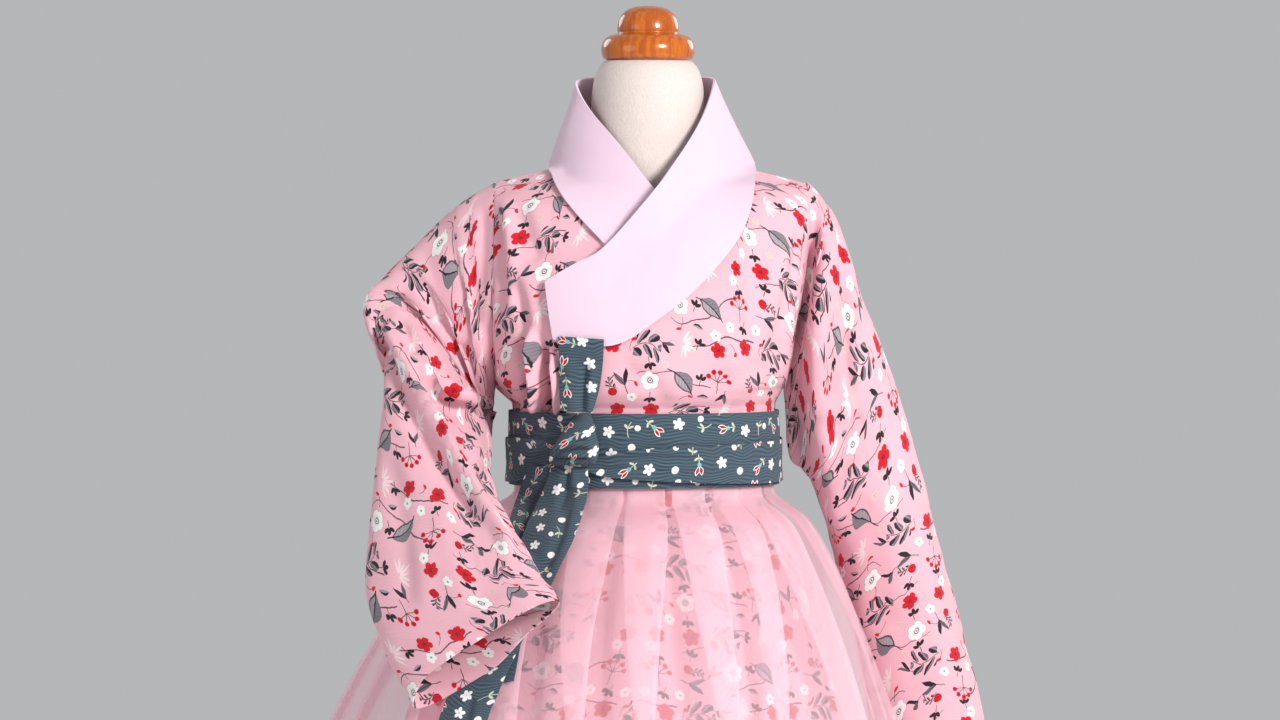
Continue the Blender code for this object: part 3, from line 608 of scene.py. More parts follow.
def curved_stem(plane_x, plane_y, tile, start, height, wave, phase, begin, end):
    """A long thin stem that winds across the repeat."""
    x = plane_x.wrap(0.0, tile)
    turn = 2 * math.pi / tile
    line = x.scaled(turn, phase).sin() * height + x.scaled(4 * turn, phase).sin() * 1.6
    y = (plane_y - line).scaled(1.0, -start).wrap(-0.5 * tile, 0.5 * tile)
    width = x.scaled(0.004, wave)
    kept = x.above(begin, 0.5) * x.below(end, 0.5)
    return (width - abs(y)).fill(0.2) * kept


TILE = 118.0
BIG_CELL = TILE / 4
SMALL_CELL = TILE / 8
SASH_CELL = 19.0
# Radians by which the motifs of a repeat may turn
FULL_TURN = 6.28


def hand_drawn(tree, plane, waver):
    """The same cut a little out of true, so that edges look drawn by hand."""
    drift = noise_node(tree, plane, 0.22, 1.0).outputs["Color"]
    moved = vector_node(tree, "MULTIPLY_ADD", drift, (waver, waver, 0.0), (-0.5 * waver, -0.5 * waver, 0.0))
    return vector_node(tree, "ADD", plane, moved)


# Start across, height, half width, phase and ends of each long stem, in millimetres
LONG_STEMS = [
    (14.0, 9.0, 0.26, 0.4, 4.0, 66.0),
    (44.0, 7.0, 0.24, 3.0, 52.0, 112.0),
    (73.0, 12.0, 0.26, 2.1, 34.0, 104.0),
    (101.0, 8.0, 0.24, 4.4, 6.0, 60.0),
]


def floral_colour(tree, cut, ground):
    """The cotton print: big motifs four to the repeat each way, small ones between, and winding stems."""
    paint = Paint(tree, ground)
    plane = hand_drawn(tree, cut, 1.6)
    px, py = parts_of(tree, plane)
    for stem in LONG_STEMS:
        paint.lay(STEM, curved_stem(px, py, TILE, *stem))
    p, (column, row), luck = cells(tree, plane, SMALL_CELL, 8, 7.5, 4.0, 0.5)
    between = (column.wrap(0.0, 2.0) * row.wrap(0.0, 2.0)).below(0.5, 0.1) * luck.below(0.6, 0.01)
    paint.lay_kinds((column + row * 3.0).wrap(0.0, 6.0), [
        small_flower(p, 4.4), leaf_cluster(p, 6.4), daisy(p, 3.2), berry_pair(p), stray_leaf(p),
        leaf_pair(p.moved(0.0, 0.5, 0.8))], between)
    p, (column, row), _ = cells(tree, plane, BIG_CELL, 4, 2.5, 3.6)
    paint.lay_kinds((column * 2.0 + row * 3.0).wrap(0.0, 8.0), [
        white_flower(p, 7.9), red_flower(p, 7.0), big_leaf(p, 24.5, 7.2), sprig(p, 11.5, 9.2, 4.8),
        berry_fan(p, 9.0, 2.1), pale_strokes(p, 13.0),
        bud(p.moved(-5.0, -1.0)) + leaf_pair(p.moved(6.0, 0.0)),
        red_flower(p.moved(-4.0, 0.0), 6.4) + small_flower(p.moved(7.0, 3.0), 4.6)])
    return paint.colour


# Motifs of the sash print
LAVENDER = (0.62, 0.62, 0.74)
TURQUOISE = (0.16, 0.52, 0.46)
PALE_GREEN = (0.62, 0.66, 0.48)


def tulip(p):
    side = abs(p.x)
    s = p.y.scaled(1.0 / 11.0, 0.12)
    width = lens(s, s.scaled(0.55, 0.75)) * 15.0
    notch = side.scaled(1.25, 4.7) - p.y
    outer = (width - side).math("MINIMUM", notch * 0.8)
    red = outer.above(0.75, 0.25) * side.above(0.42, 0.25)
    cup_y = p.y.scaled(1.0, 1.3)
    cup = blob(p.x, cup_y, 3.4, 0.8)
    stem = bar(p.x, p.y, 0.34, -6.4, 3.8, 0.2)
    across = side.scaled(1.0 / 1.8, -1.25)
    up = (p.y - side * 0.5).scaled(1.0, 7.4)
    leaves = blob(across, up, 1.0, 0.3, 0.9)
    return [(WHITE, outer.fill(0.25)), (DEEP_RED, red), (TURQUOISE, cup),
            (PALE_GREEN, stem), (PALE_GREEN, leaves)]


def star_flower(p, size):
    lobe = abs(p.turn.scaled(2.5).cos())
    petals = (lobe.scaled(0.52 * size, 0.48 * size) - p.r).fill(0.25)
    gaps = lobe.below(0.3, 0.2) * petals
    dot = p.r.below(0.16 * size, 0.3)
    return [(WHITE, petals), (LAVENDER, gaps * 0.6), (LAVENDER, dot)]


def green_sprig(p):
    x = p.bent(0.05)
    side = abs(x)
    stem = bar(x, p.y, 0.3, 0.0, 6.2, 0.2)
    across = side.scaled(1.0 / 1.7, -1.15)
    up = (p.y - side * 0.6).scaled(1.0, -1.0)
    leaves = blob(across, up, 1.0, 0.3, 0.8)
    return [(PALE_GREEN, stem), (PALE_GREEN, leaves)]


def dot(p, radius):
    return [(WHITE, p.r.below(radius, 0.25))]


def sash_colour(tree, cut, ground):
    """The ribbon print: six motifs in square cells."""
    paint = Paint(tree, ground)
    p, (column, row), _ = cells(tree, hand_drawn(tree, cut, 0.6), SASH_CELL, 6, 4.5, 4.0)
    paint.lay_kinds((column * 2.0 + row * 3.0).wrap(0.0, 6.0), [
        tulip(p.moved(0.0, -0.5, 0.95)), dot(p.moved(4.0, 0.0), 2.9), star_flower(p.moved(0.0, 3.0), 5.0),
        tulip(p.moved(-1.5, -0.5, 0.92)), green_sprig(p.moved(-1.5, 0.0)) + dot(p.moved(6.0, 2.5), 2.4),
        star_flower(p.moved(-3.0, 0.0), 4.8)])
    return paint.colour


# Materials
def new_material(name):
    material = bpy.data.materials.new(name)
    material.use_nodes = True
    tree = material.node_tree
    return material, tree, tree.nodes["Principled BSDF"]


def set_values(shader, **values):
    for name, value in values.items():
        shader.inputs[name.replace("_", " ")].default_value = value


def cut_plane(tree):
    """The cloth's cut, in millimetres."""
    return vector_node(tree, "SCALE", new_node(tree, "UVMap", uv_map="cut").outputs["UV"], scale=1000.0)


def solid_plane(tree):
    """A solid's own space, in millimetres."""
    return vector_node(tree, "SCALE", new_node(tree, "TexCoord").outputs["Object"], scale=1000.0)


def ground_colour(tree, colour):
    node = new_node(tree, "RGB")
    node.outputs[0].default_value = colour + (1.0,)
    return node.outputs[0]


def mix_shaders(tree, share, first, second):
    node = new_node(tree, "MixShader")
    for slot, value in zip(node.inputs, (share, first.outputs[0], second.outputs[0])):
        feed(tree, slot, value)
    return node


def show(tree, shader):
    feed(tree, tree.nodes["Material Output"].inputs["Surface"], shader.outputs[0])


def finish(tree, shader, colour, height, distance, **values):
    """Links a material's colour and bump, and sets its even values."""
    feed(tree, shader.inputs["Base Color"], colour)
    bump = new_node(tree, "Bump")
    bump.inputs["Strength"].default_value = 1.0
    bump.inputs["Distance"].default_value = distance
    feed(tree, bump.inputs["Height"], height)
    feed(tree, shader.inputs["Normal"], bump.outputs["Normal"])
    set_values(shader, **values)


def weave(tree, plane, pitch):
    x, y = parts_of(tree, plane)
    warp = x.scaled(2 * math.pi / pitch).sin()
    weft = y.scaled(2 * math.pi / pitch).sin()
    return warp * weft


def tone(tree, colour, factor):
    """A colour made lighter or darker by a number round 1."""
    combine = new_node(tree, "CombineXYZ")
    for slot in combine.inputs:
        feed(tree, slot, factor)
    return vector_node(tree, "MULTIPLY", colour, combine.outputs[0])


def watered(tree, plane, pitch, depth):
    """Faint wavy lines across the cloth."""
    y = parts_of(tree, plane)[1]
    sway = noise(tree, plane, 0.035, 1.0).scaled(16.0)
    strength = noise(tree, plane, 0.06, 2.0).scaled(2.2 * depth, -0.5 * depth)
    return (y + sway).scaled(2 * math.pi / pitch).sin() * strength + 1.0


def woven_cloth(name, colour, pitch, rough, sheen, painter=None, water=0.0):
    """A plain cotton, or a printed one whose painter draws on its watered ground."""
    material, tree, shader = new_material(name)
    plane = cut_plane(tree)
    shown = ground_colour(tree, colour)
    cloud, depth, fuzz, relief, gloss = 0.06, 0.04, 2.0, 0.0001, 0.25
    if painter:
        cloud, depth, fuzz, relief, gloss = 0.05, 0.1, 1.6, 0.00012, 0.22
        shown = painter(tree, plane, tone(tree, shown, watered(tree, plane, 2.6, water)))
    shown = tone(tree, shown, noise(tree, plane, cloud, 3.0).varied(depth))
    grain = weave(tree, plane, pitch) * 0.5 + noise(tree, plane, fuzz)
    finish(tree, shader, shown, grain, relief,
           Roughness=rough, Specular_IOR_Level=gloss, Sheen_Weight=sheen, Sheen_Roughness=0.5)
    return material


def organza_material():
    """Sheer cloth: a thread surface that lets part of what is behind it through."""
    material, tree, shader = new_material("organza")
    plane = cut_plane(tree)
    up = parts_of(tree, plane)[1]
    colour = tone(tree, ground_colour(tree, (0.99, 0.735, 0.805)), noise(tree, plane, 0.04).varied(0.08))
    threads = noise(tree, plane, 0.9, stretch=(1.0, 0.05, 1.0))
    finish(tree, shader, colour, threads, 0.00008,
           Roughness=0.5, Specular_IOR_Level=0.3, Sheen_Weight=0.25, Sheen_Roughness=0.35)
    cover = (threads.scaled(0.07, 0.335) + up.below(12.0, 1.0) * 0.2).math("MINIMUM", 0.95)
    glow = new_node(tree, "BsdfTranslucent")
    glow.inputs["Color"].default_value = (0.98, 0.76, 0.82, 1.0)
    clear = new_node(tree, "BsdfTransparent")
    clear.inputs["Color"].default_value = (1.0, 0.97, 0.98, 1.0)
    show(tree, mix_shaders(tree, cover, clear, mix_shaders(tree, 0.3, shader, glow)))
    return material


def linen_material():
    material, tree, shader = new_material("form_linen")
    place = solid_plane(tree)
    slubs = noise(tree, place, 0.9, 3.0, (1.0, 1.0, 0.25))
    flecks = noise(tree, place, 0.55, 4.0)
    colour = tone(tree, ground_colour(tree, (0.67, 0.58, 0.545)), slubs.varied(0.16) * flecks.varied(0.2))
    finish(tree, shader, colour, slubs + flecks, 0.00025,
           Roughness=0.88, Specular_IOR_Level=0.2, Sheen_Weight=0.1)
    return material


def wood_material(name, rough):
    """Lacquered turned wood with long grain."""
    material, tree, shader = new_material(name)
    place = solid_plane(tree)
    bands = noise(tree, place, 0.07, 4.0, (1.0, 1.0, 0.12)).scaled(34.0).sin().scaled(0.5, 0.5)
    pores = noise(tree, place, 1.1, 2.0, (1.0, 1.0, 0.08))
    ramp = new_node(tree, "ValToRGB")
    for stop, colour in zip(ramp.color_ramp.elements, ((0.3, 0.05, 0.003, 1.0), (0.63, 0.16, 0.009, 1.0))):
        stop.color = colour
    feed(tree, ramp.inputs[0], bands * 0.45 + pores * 0.55)
    finish(tree, shader, ramp.outputs[0], pores, 0.00004,
           Roughness=rough, Coat_Weight=0.6, Coat_Roughness=0.06, Specular_IOR_Level=0.3)
    return material


def metal_material():
    material, tree, shader = new_material("pole_metal")
    brushed = noise(tree, solid_plane(tree), 2.5, 2.0, (1.0, 1.0, 0.02))
    colour = tone(tree, ground_colour(tree, (0.62, 0.62, 0.63)), brushed.varied(0.16))
    finish(tree, shader, colour, brushed, 0.00003, Roughness=0.28, Metallic=1.0)
    return material


FLORAL = woven_cloth("floral_cotton", (0.87, 0.475, 0.55), 0.42, 0.85, 0.1, floral_colour, 0.03)
SASH = woven_cloth("sash_print", (0.056, 0.09, 0.118), 0.5, 0.8, 0.12, sash_colour, 0.55)
COLLAR = woven_cloth("collar_cotton", (0.84, 0.63, 0.75), 0.36, 0.85, 0.12)
WAISTBAND = woven_cloth("waistband_cotton", (0.78, 0.48, 0.55), 0.4, 0.85, 0.1)
ORGANZA_CLOTH = organza_material()
LINEN = linen_material()
CAP_WOOD = wood_material("cap_wood", 0.24)
STAND_WOOD = wood_material("stand_wood", 0.3)
POLE_METAL = metal_material()


def settle(obj, slot, node, **sheet):
    """A piece that rides on the part's one body and stands for its solid, which it hides."""
    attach(obj, "root")
    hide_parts(node)


# Dress form
FORM = Table("z half_width half_depth neck", [
    (0.43, 0.08, 0.062, 0.01),
    (0.436, 0.092, 0.073, 0.01),
    (0.45, 0.1, 0.081, 0.01),
    (0.5, 0.104, 0.084, 0.01),
    (0.56, 0.101, 0.08, 0.01),
    (0.64, 0.097, 0.0755, 0.01),
    (0.7, 0.097, 0.0755, 0.01),
    (0.74, 0.1, 0.078, 0.01),
    (0.78, 0.104, 0.08, 0.012),
    (0.82, 0.106, 0.075, 0.02),
    (0.845, 0.109, 0.062, 0.03),
    (0.862, 0.11, 0.05, 0.038),
    (0.874, 0.107, 0.038, 0.043),
    (0.882, 0.1, 0.027, 0.046),
    (0.888, 0.086, 0.018, 0.0475),
    (0.893, 0.064, 0.012, 0.0478),
    (0.9, 0.04, 0.01, 0.0475),
    (0.915, 0.02, 0.01, 0.0458),
    (0.95, 0.02, 0.01, 0.045),
    (0.966, 0.02, 0.01, 0.043),
    (0.976, 0.02, 0.01, 0.039),
    (0.981, 0.02, 0.01, 0.0345),
])


def form_radius(z, t):
    a, b, n = FORM.at("half_width", z), FORM.at("half_depth", z), FORM.at("neck", z)
    r = 1 / np.sqrt((np.sin(t) / a) ** 2 + (np.cos(t) / b) ** 2)
    return (r**6 + n**6) ** (1 / 6)


def around(count):
    """Angles round a tube, from its back; the front is at 0."""
    return math.pi + np.arange(count) * 2 * math.pi / count


def closed_turn(name, rings, material):
    """A closed body through rings, its ends drawn in to their centres."""
    first, last = rings[0].mean(axis=0), rings[-1].mean(axis=0)
    shrink = [first + (rings[0] - first) * f for f in (0.0005, 0.5)]
    grow = [last + (rings[-1] - last) * f for f in (0.5, 0.0005)]
    grid = np.array(shrink + list(rings) + grow)
    return skin(name, grid, tube_cut(grid, 0.5), material)


def build_form():
    z = np.concatenate([np.linspace(0.43, 0.8, 60), np.linspace(0.8, 0.981, 90)[1:]])
    zz, tt = np.meshgrid(z, around(144), indexing="ij")
    r = form_radius(zz, tt)
    cx = FORM_X * np.clip((zz - 0.72) / 0.1, 0, 1)
    rings = np.stack([cx + r * np.sin(tt), -r * np.cos(tt), zz], axis=-1)
    settle(closed_turn("form_cover", rings, LINEN), "form_linen", "form_body")


# Radius and height down the outside of each turned piece
CAP_PROFILE = [
    (0.002, 1.0249), (0.008, 1.0243), (0.014, 1.0228), (0.019, 1.0198), (0.0225, 1.0155), (0.0242, 1.0105),
    (0.0247, 1.006), (0.0243, 1.0034), (0.0262, 1.0022), (0.03, 1.0012), (0.0336, 0.9992), (0.0361, 0.9958),
    (0.0373, 0.9915), (0.0371, 0.9868), (0.0356, 0.9832), (0.0325, 0.9815)]
BASE_PROFILE = [
    (0.027, 0.034), (0.029, 0.033), (0.035, 0.03), (0.05, 0.0272), (0.11, 0.0222), (0.145, 0.0192),
    (0.156, 0.0176), (0.162, 0.015), (0.1648, 0.0112), (0.165, 0.006), (0.1645, 0.0022), (0.1625, 0.0)]


def build_turned(name, profile, rows, material, slot, node, centre_x):
    p = spline(profile, rows)
    p[:, 1] = np.clip(p[:, 1], profile[-1][1], profile[0][1])
    t = np.arange(128) * 2 * math.pi / 128
    radius, z = p[:, :1], p[:, 1:]
    rings = np.stack([centre_x + radius * np.sin(t), -radius * np.cos(t), z + 0 * t], axis=-1)
    settle(closed_turn(name, rings, material), slot, node)


# Jacket body
BODY = Table("z front back left_width right_width", [
    (JACKET_HEM, 0.083, 0.082, 0.105, 0.105),
    (0.7, 0.083, 0.082, 0.105, 0.105),
    (0.708, 0.0832, 0.084, 0.1056, 0.1052),
    (0.714, 0.0895, 0.0885, 0.112, 0.1082),
    (0.722, 0.0955, 0.092, 0.119, 0.112),
    (0.745, 0.1, 0.095, 0.119, 0.1147),
    (0.77, 0.101, 0.095, 0.119, 0.1176),
    (0.8, 0.098, 0.092, 0.119, 0.1211),
    (0.83, 0.089, 0.086, 0.119, 0.1247),
    (0.86, 0.0745, 0.077, 0.119, 0.1282),
    (0.884, 0.062, 0.069, 0.119, 0.131),
    (0.91, 0.052, 0.062, 0.119, 0.131),
])


def armhole_depth(z):
    mid, half = 0.5 * (ARMHOLE_LOW + ARMHOLE_TOP), 0.5 * (ARMHOLE_TOP - ARMHOLE_LOW)
    u = np.clip((np.asarray(z, float) - mid) / half, -1, 1)
    return ARMHOLE_HALF_DEPTH * np.sqrt(np.maximum(0.0, 1 - u * u))


def shoulder_z(x):
    """Height of the shoulder line."""
    d = np.abs(np.asarray(x, float) - 0.004)
    r = np.clip((d - 0.06) / 0.065, 0, 1.2)
    q = np.clip(1 - d / 0.06, 0, 1)
    return 0.899 - 0.015 * r**1.15 + 0.03 * q**1.5


def body_y(x, z, face, extra=0.0):
    """Depth of the jacket body at a point seen from the front; face -1 front, +1 back."""
    x, z = np.asarray(x, float), np.asarray(z, float)
    depth = BODY.at("front" if face < 0 else "back", z) + extra
    width = np.where(x < 0, BODY.at("left_width", z), BODY.at("right_width", z))
    u = np.clip(np.abs(x) / width, 0, 1)
    blend = np.clip((z - 0.704) / 0.014, 0, 1)
    round_x = (1 - u ** (2.0 + 0.5 * blend)) ** (0.5 + 0.12 * blend)
    s = np.clip((shoulder_z(x) - z) / 0.05, 0, 1)
    rise = np.sqrt(1 - (1 - s) ** 2)
    tip = np.clip((shoulder_z(x) - 0.0004 - z) / 0.008, 0, 1)
    edge = armhole_depth(z) * np.sqrt(1 - (1 - tip) ** 2)
    return face * (edge + rise * np.maximum(depth - edge, 0) * round_x)


def body_normals(x, z, face, extra=0.0):
    e = 0.0015
    fx = (body_y(x + e, z, face, extra) - body_y(x - e, z, face, extra)) / (2 * e)
    fz = (body_y(x, z + e, face, extra) - body_y(x, z - e, face, extra)) / (2 * e)
    n = np.stack([-face * fx, np.full_like(fx, float(face)), -face * fz], axis=-1)
    return n / np.linalg.norm(n, axis=-1, keepdims=True)


NECK_OVER = Table("x z", [
    (-0.0705, 0.778), (-0.03, 0.774), (0.006, 0.792), (0.038, 0.819),
    (0.064, 0.85), (0.076, 0.874), (0.082, 0.894)])
NECK_UNDER = Table("x z", [
    (-0.073, 0.895), (-0.068, 0.884), (-0.054, 0.866), (-0.02, 0.84), (0.012, 0.815)])


def front_over_top(x):
    return np.where(x > 0.082, shoulder_z(x) - 0.0004, NECK_OVER.at("z", x))


def front_under_top(x):
    return np.where(x < -0.073, shoulder_z(x) - 0.0004, NECK_UNDER.at("z", x))


def back_top(x):
    return np.minimum(shoulder_z(x) - 0.0004, 0.888 + 5.0 * np.maximum(0.0, np.abs(x - 0.004) - 0.05) ** 1.3)


# Creases of the jacket body: face, depth, width, lip, line of x and z
BODY_CREASES = {
    "jeogori_front_right": [
        (-1, -0.006, 0.005, 0.7, [(-0.119, 0.872), (-0.114, 0.84), (-0.111, 0.806), (-0.113, 0.775)]),
        (-1, -0.0045, 0.0055, 0.6, [(-0.104, 0.818), (-0.098, 0.795), (-0.093, 0.77), (-0.092, 0.748)]),
        (-1, -0.013, 0.0042, 0.6, [(-0.099, 0.764), (-0.094, 0.745), (-0.09, 0.728), (-0.09, 0.7)]),
        (-1, 0.011, 0.0042, 0.3, [(-0.09, 0.776), (-0.085, 0.752), (-0.0815, 0.732), (-0.0815, 0.7)]),
        (-1, -0.015, 0.0036, 0.5, [(-0.08, 0.76), (-0.0745, 0.738), (-0.0725, 0.724), (-0.0725, 0.7)]),
        (-1, 0.007, 0.0036, 0.3, [(-0.072, 0.752), (-0.068, 0.732), (-0.0665, 0.715), (-0.0665, 0.7)]),
        (-1, 0.0035, 0.008, 0.2, [(-0.112, 0.74), (-0.1, 0.722), (-0.088, 0.712)]),
        (-1, -0.003, 0.007, 0.5, [(-0.1, 0.87), (-0.092, 0.845), (-0.08, 0.822)]),
    ],
    "jeogori_front_left": [
        (-1, -0.006, 0.007, 0.5, [
            (0.128, 0.862), (0.122, 0.826), (0.115, 0.796), (0.106, 0.762), (0.098, 0.722)]),
        (-1, -0.0022, 0.01, 0.5, [(0.105, 0.85), (0.088, 0.822), (0.07, 0.802)]),
        (-1, -0.002, 0.009, 0.4, [(0.096, 0.745), (0.07, 0.732), (0.04, 0.728)]),
        (-1, -0.0018, 0.008, 0.5, [(-0.02, 0.745), (0.005, 0.728), (0.02, 0.708)]),
        (-1, 0.0022, 0.01, 0.2, [(0.06, 0.77), (0.072, 0.74), (0.078, 0.712)]),
    ],
    "jeogori_back": [
        (1, -0.005, 0.007, 0.5, [(0.124, 0.862), (0.114, 0.82), (0.104, 0.775), (0.096, 0.725)]),
        (1, -0.005, 0.007, 0.5, [(-0.114, 0.862), (-0.106, 0.815), (-0.098, 0.77), (-0.092, 0.722)]),
        (1, -0.004, 0.009, 0.5, [(-0.06, 0.8), (-0.045, 0.755), (-0.035, 0.708)]),
        (1, -0.0035, 0.009, 0.4, [(0.062, 0.79), (0.048, 0.75), (0.044, 0.708)]),
        (1, 0.004, 0.009, 0.2, [(0.005, 0.785), (0.0, 0.745), (0.004, 0.708)]),
        (1, -0.003, 0.008, 0.4, [(-0.08, 0.76), (-0.074, 0.735), (-0.072, 0.708)]),
    ],
}


def build_panel(name, left, right, top, face, extra, cols, shift, seed, **sheet):
    x0 = np.linspace(left, right, cols)
    f = np.linspace(0, 1, 120)[:, None]
    z = JACKET_HEM + (top(x0)[None, :] - JACKET_HEM) * f
    full = np.where(x0 < 0, abs(LEFT_EDGE_X), RIGHT_EDGE_X)
    lean = np.clip((np.abs(x0) - 0.06) / (full - 0.06), 0, 1)
    width = np.where(x0 < 0, BODY.at("left_width", z), BODY.at("right_width", z))
    x = x0 * (1 + lean * (width / full - 1))
    grid = np.stack([x, body_y(x, z, face, extra) + face * 0.0002, z], axis=-1)
    across = lengths(grid, 1)
    middle = np.argmin(np.abs(x0))
    u = (across - across[:, middle:middle + 1]) * -face
    v = lengths(grid, 0)
    cut = np.stack([u + shift[0], v + shift[1]], axis=-1)
    normals = body_normals(x, z, face, extra)
    free = smooth_step(z, 0.6985, 0.716) * smooth_step(top(x0)[None, :] - z, 0.0, 0.012)
    edge_free = smooth_step(np.minimum(x0 - left, right - x0), 0.0, 0.004) * 0.7 + 0.3
    move = ripples(u, v, seed, 0.0007, normals) * free[..., None]
    move = pressed(move, grid, normals, BODY_CREASES[name], free=free[..., None])
    grid = grid + move * edge_free[..., None]
    grid[..., 1] = face * np.maximum(face * grid[..., 1], 0.0003)
    obj = cloth(name + "_cloth", grid, cut, COTTON, FLORAL, np.array([0.0, 0.0, 0.78]))
    settle(obj, "floral_cotton", name, held="draped", **sheet)


def build_body():
    build_panel("jeogori_back", LEFT_EDGE_X, RIGHT_EDGE_X, back_top, 1, 0.0, 150, (0.05, 0.0), 1,
                flat=(0.3, 0.25), rests_on=["form_cover"])
    build_panel("jeogori_front_right", LEFT_EDGE_X, 0.012, front_under_top, -1, UNDER, 110, (0.02, 0.03), 2,
                flat=(0.18, 0.24), rests_on=["form_cover"], area=0.036)
    build_panel("jeogori_front_left", -0.0705, RIGHT_EDGE_X, front_over_top, -1, 0.0, 130, (0.01, 0.06), 3,
                flat=(0.25, 0.24), rests_on=["jeogori_front_right_cloth"], area=0.04)


# Sleeves: outer and inner fold points of each section and its half thickness
SLEEVE_RIGHT = [  # outer x y z, inner x y z, half
    (-0.1186, 0.0, 0.8846, -0.1186, 0.0, 0.7214, 0.0526),
    (-0.142, 0.0, 0.87, -0.1225, 0.002, 0.694, 0.05),
    (-0.163, 0.0, 0.853, -0.126, 0.0, 0.678, 0.046),
    (-0.194, -0.004, 0.8235, -0.129, -0.012, 0.672, 0.037),
    (-0.2075, -0.012, 0.808, -0.1298, -0.024, 0.67, 0.031),
    (-0.2165, -0.02, 0.7985, -0.129, -0.038, 0.6675, 0.025),
    (-0.2065, -0.028, 0.783, -0.1265, -0.056, 0.664, 0.024),
    (-0.202, -0.038, 0.76, -0.123, -0.077, 0.659, 0.024),
    (-0.205, -0.058, 0.715, -0.115, -0.118, 0.647, 0.022),
    (-0.209, -0.098, 0.638, -0.093, -0.166, 0.614, 0.02),
    (-0.212, -0.13, 0.57, -0.078, -0.194, 0.592, 0.019),
    (-0.1955, -0.155, 0.525, -0.07, -0.206, 0.583, 0.018),
    (-0.178, -0.178, 0.496, -0.0645, -0.214, 0.574, 0.016),
]
SLEEVE_LEFT = [
    (0.1306, 0.0, 0.8846, 0.1116, 0.0, 0.7214, 0.0526),
    (0.144, 0.0, 0.87, 0.114, 0.002, 0.695, 0.05),
    (0.156, 0.0, 0.85, 0.1155, 0.003, 0.674, 0.048),
    (0.174, 0.004, 0.79, 0.119, 0.006, 0.66, 0.05),
    (0.191, 0.01, 0.75, 0.129, 0.01, 0.653, 0.051),
    (0.218, 0.02, 0.669, 0.1385, 0.016, 0.636, 0.05),
    (0.233, 0.034, 0.615, 0.148, 0.03, 0.606, 0.047),
    (0.249, 0.048, 0.561, 0.16, 0.046, 0.56, 0.043),
    (0.265, 0.062, 0.502, 0.174, 0.062, 0.502, 0.04),
    (0.28, 0.072, 0.444, 0.1855, 0.072, 0.445, 0.038),
    (0.285, 0.074, 0.427, 0.188, 0.074, 0.431, 0.038),
]
SLEEVE_CREASES = {
    "sleeve_right": [
        (-1, 0.011, 0.0054, 0.5, [(-0.205, 0.777), (-0.194, 0.758), (-0.179, 0.729), (-0.158, 0.694),
                                   (-0.139, 0.664), (-0.11, 0.624), (-0.095, 0.603)]),
        (-1, 0.009, 0.005, 0.6, [
            (-0.115, 0.706), (-0.126, 0.711), (-0.15, 0.722), (-0.172, 0.738), (-0.185, 0.752)]),
        (-1, -0.0075, 0.006, 0.3, [(-0.208, 0.765), (-0.198, 0.736), (-0.178, 0.7), (-0.152, 0.662),
                                    (-0.123, 0.622)]),
        (-1, -0.005, 0.008, 0.5, [(-0.125, 0.87), (-0.124, 0.835), (-0.13, 0.8), (-0.135, 0.77)]),
        (-1, -0.003, 0.01, 0.5, [(-0.175, 0.835), (-0.165, 0.8), (-0.16, 0.77)]),
        (-1, -0.003, 0.009, 0.5, [(-0.198, 0.8), (-0.175, 0.78), (-0.148, 0.768)]),
        (-1, -0.0045, 0.008, 0.4, [(-0.148, 0.76), (-0.136, 0.735), (-0.125, 0.715)]),
        (-1, -0.0025, 0.009, 0.6, [(-0.2, 0.68), (-0.185, 0.62), (-0.178, 0.56)]),
        (-1, 0.0025, 0.011, 0.2, [(-0.16, 0.64), (-0.145, 0.6), (-0.135, 0.56)]),
        (1, -0.006, 0.008, 0.5, [(-0.2, 0.78), (-0.175, 0.745), (-0.145, 0.71)]),
        (1, -0.0045, 0.01, 0.5, [(-0.13, 0.86), (-0.142, 0.81), (-0.15, 0.76)]),
        (1, -0.004, 0.009, 0.5, [(-0.19, 0.7), (-0.17, 0.64), (-0.16, 0.58)]),
    ],
    "sleeve_left": [
        (-1, 0.0035, 0.007, 0.2, [(0.144, 0.83), (0.14, 0.79), (0.137, 0.729), (0.142, 0.69), (0.15, 0.64),
                                   (0.16, 0.58)]),
        (-1, -0.005, 0.0035, 0.6, [(0.156, 0.856), (0.1585, 0.81), (0.16, 0.765), (0.162, 0.715)]),
        (-1, -0.0022, 0.012, 0.5, [(0.195, 0.72), (0.205, 0.66), (0.215, 0.6)]),
        (-1, -0.002, 0.01, 0.5, [(0.17, 0.64), (0.185, 0.58), (0.195, 0.52)]),
        (-1, -0.0025, 0.008, 0.5, [(0.133, 0.7), (0.15, 0.69), (0.175, 0.7)]),
        (1, -0.004, 0.009, 0.5, [(0.16, 0.83), (0.17, 0.76), (0.18, 0.7)]),
        (1, -0.003, 0.011, 0.5, [(0.19, 0.68), (0.21, 0.6), (0.225, 0.52)]),
    ],
}


# Where a sleeve's face sinks in: face, share of the depth, near and far width, side of the line (0 for both),
# line of x and z
SLEEVE_HOLLOWS = {
    "sleeve_right": [
        (-1, 1.65, 0.005, 0.0165, 0, [(-0.186, 0.756), (-0.168, 0.732), (-0.147, 0.707),
                                     (-0.129, 0.693), (-0.118, 0.684), (-0.108, 0.676)]),
        (1, 0.5, 0.01, 0.014, 0, [(-0.18, 0.8), (-0.156, 0.76), (-0.13, 0.715), (-0.115, 0.68)]),
    ],
    "sleeve_left": [
        (-1, 0.9, 0.013, 0.008, 1, [(0.14, 0.636), (0.134, 0.668), (0.13, 0.696), (0.125, 0.728),
                                    (0.1235, 0.748), (0.1265, 0.766), (0.136, 0.782)]),
        (-1, 0.6, 0.005, 0.009, 0, [(0.1365, 0.882), (0.133, 0.84), (0.128, 0.8), (0.123, 0.765),
                                    (0.122, 0.715), (0.124, 0.67), (0.13, 0.63)]),
        (1, 0.6, 0.008, 0.01, 0, [(0.136, 0.878), (0.132, 0.82), (0.127, 0.76), (0.125, 0.69)]),
    ],
}


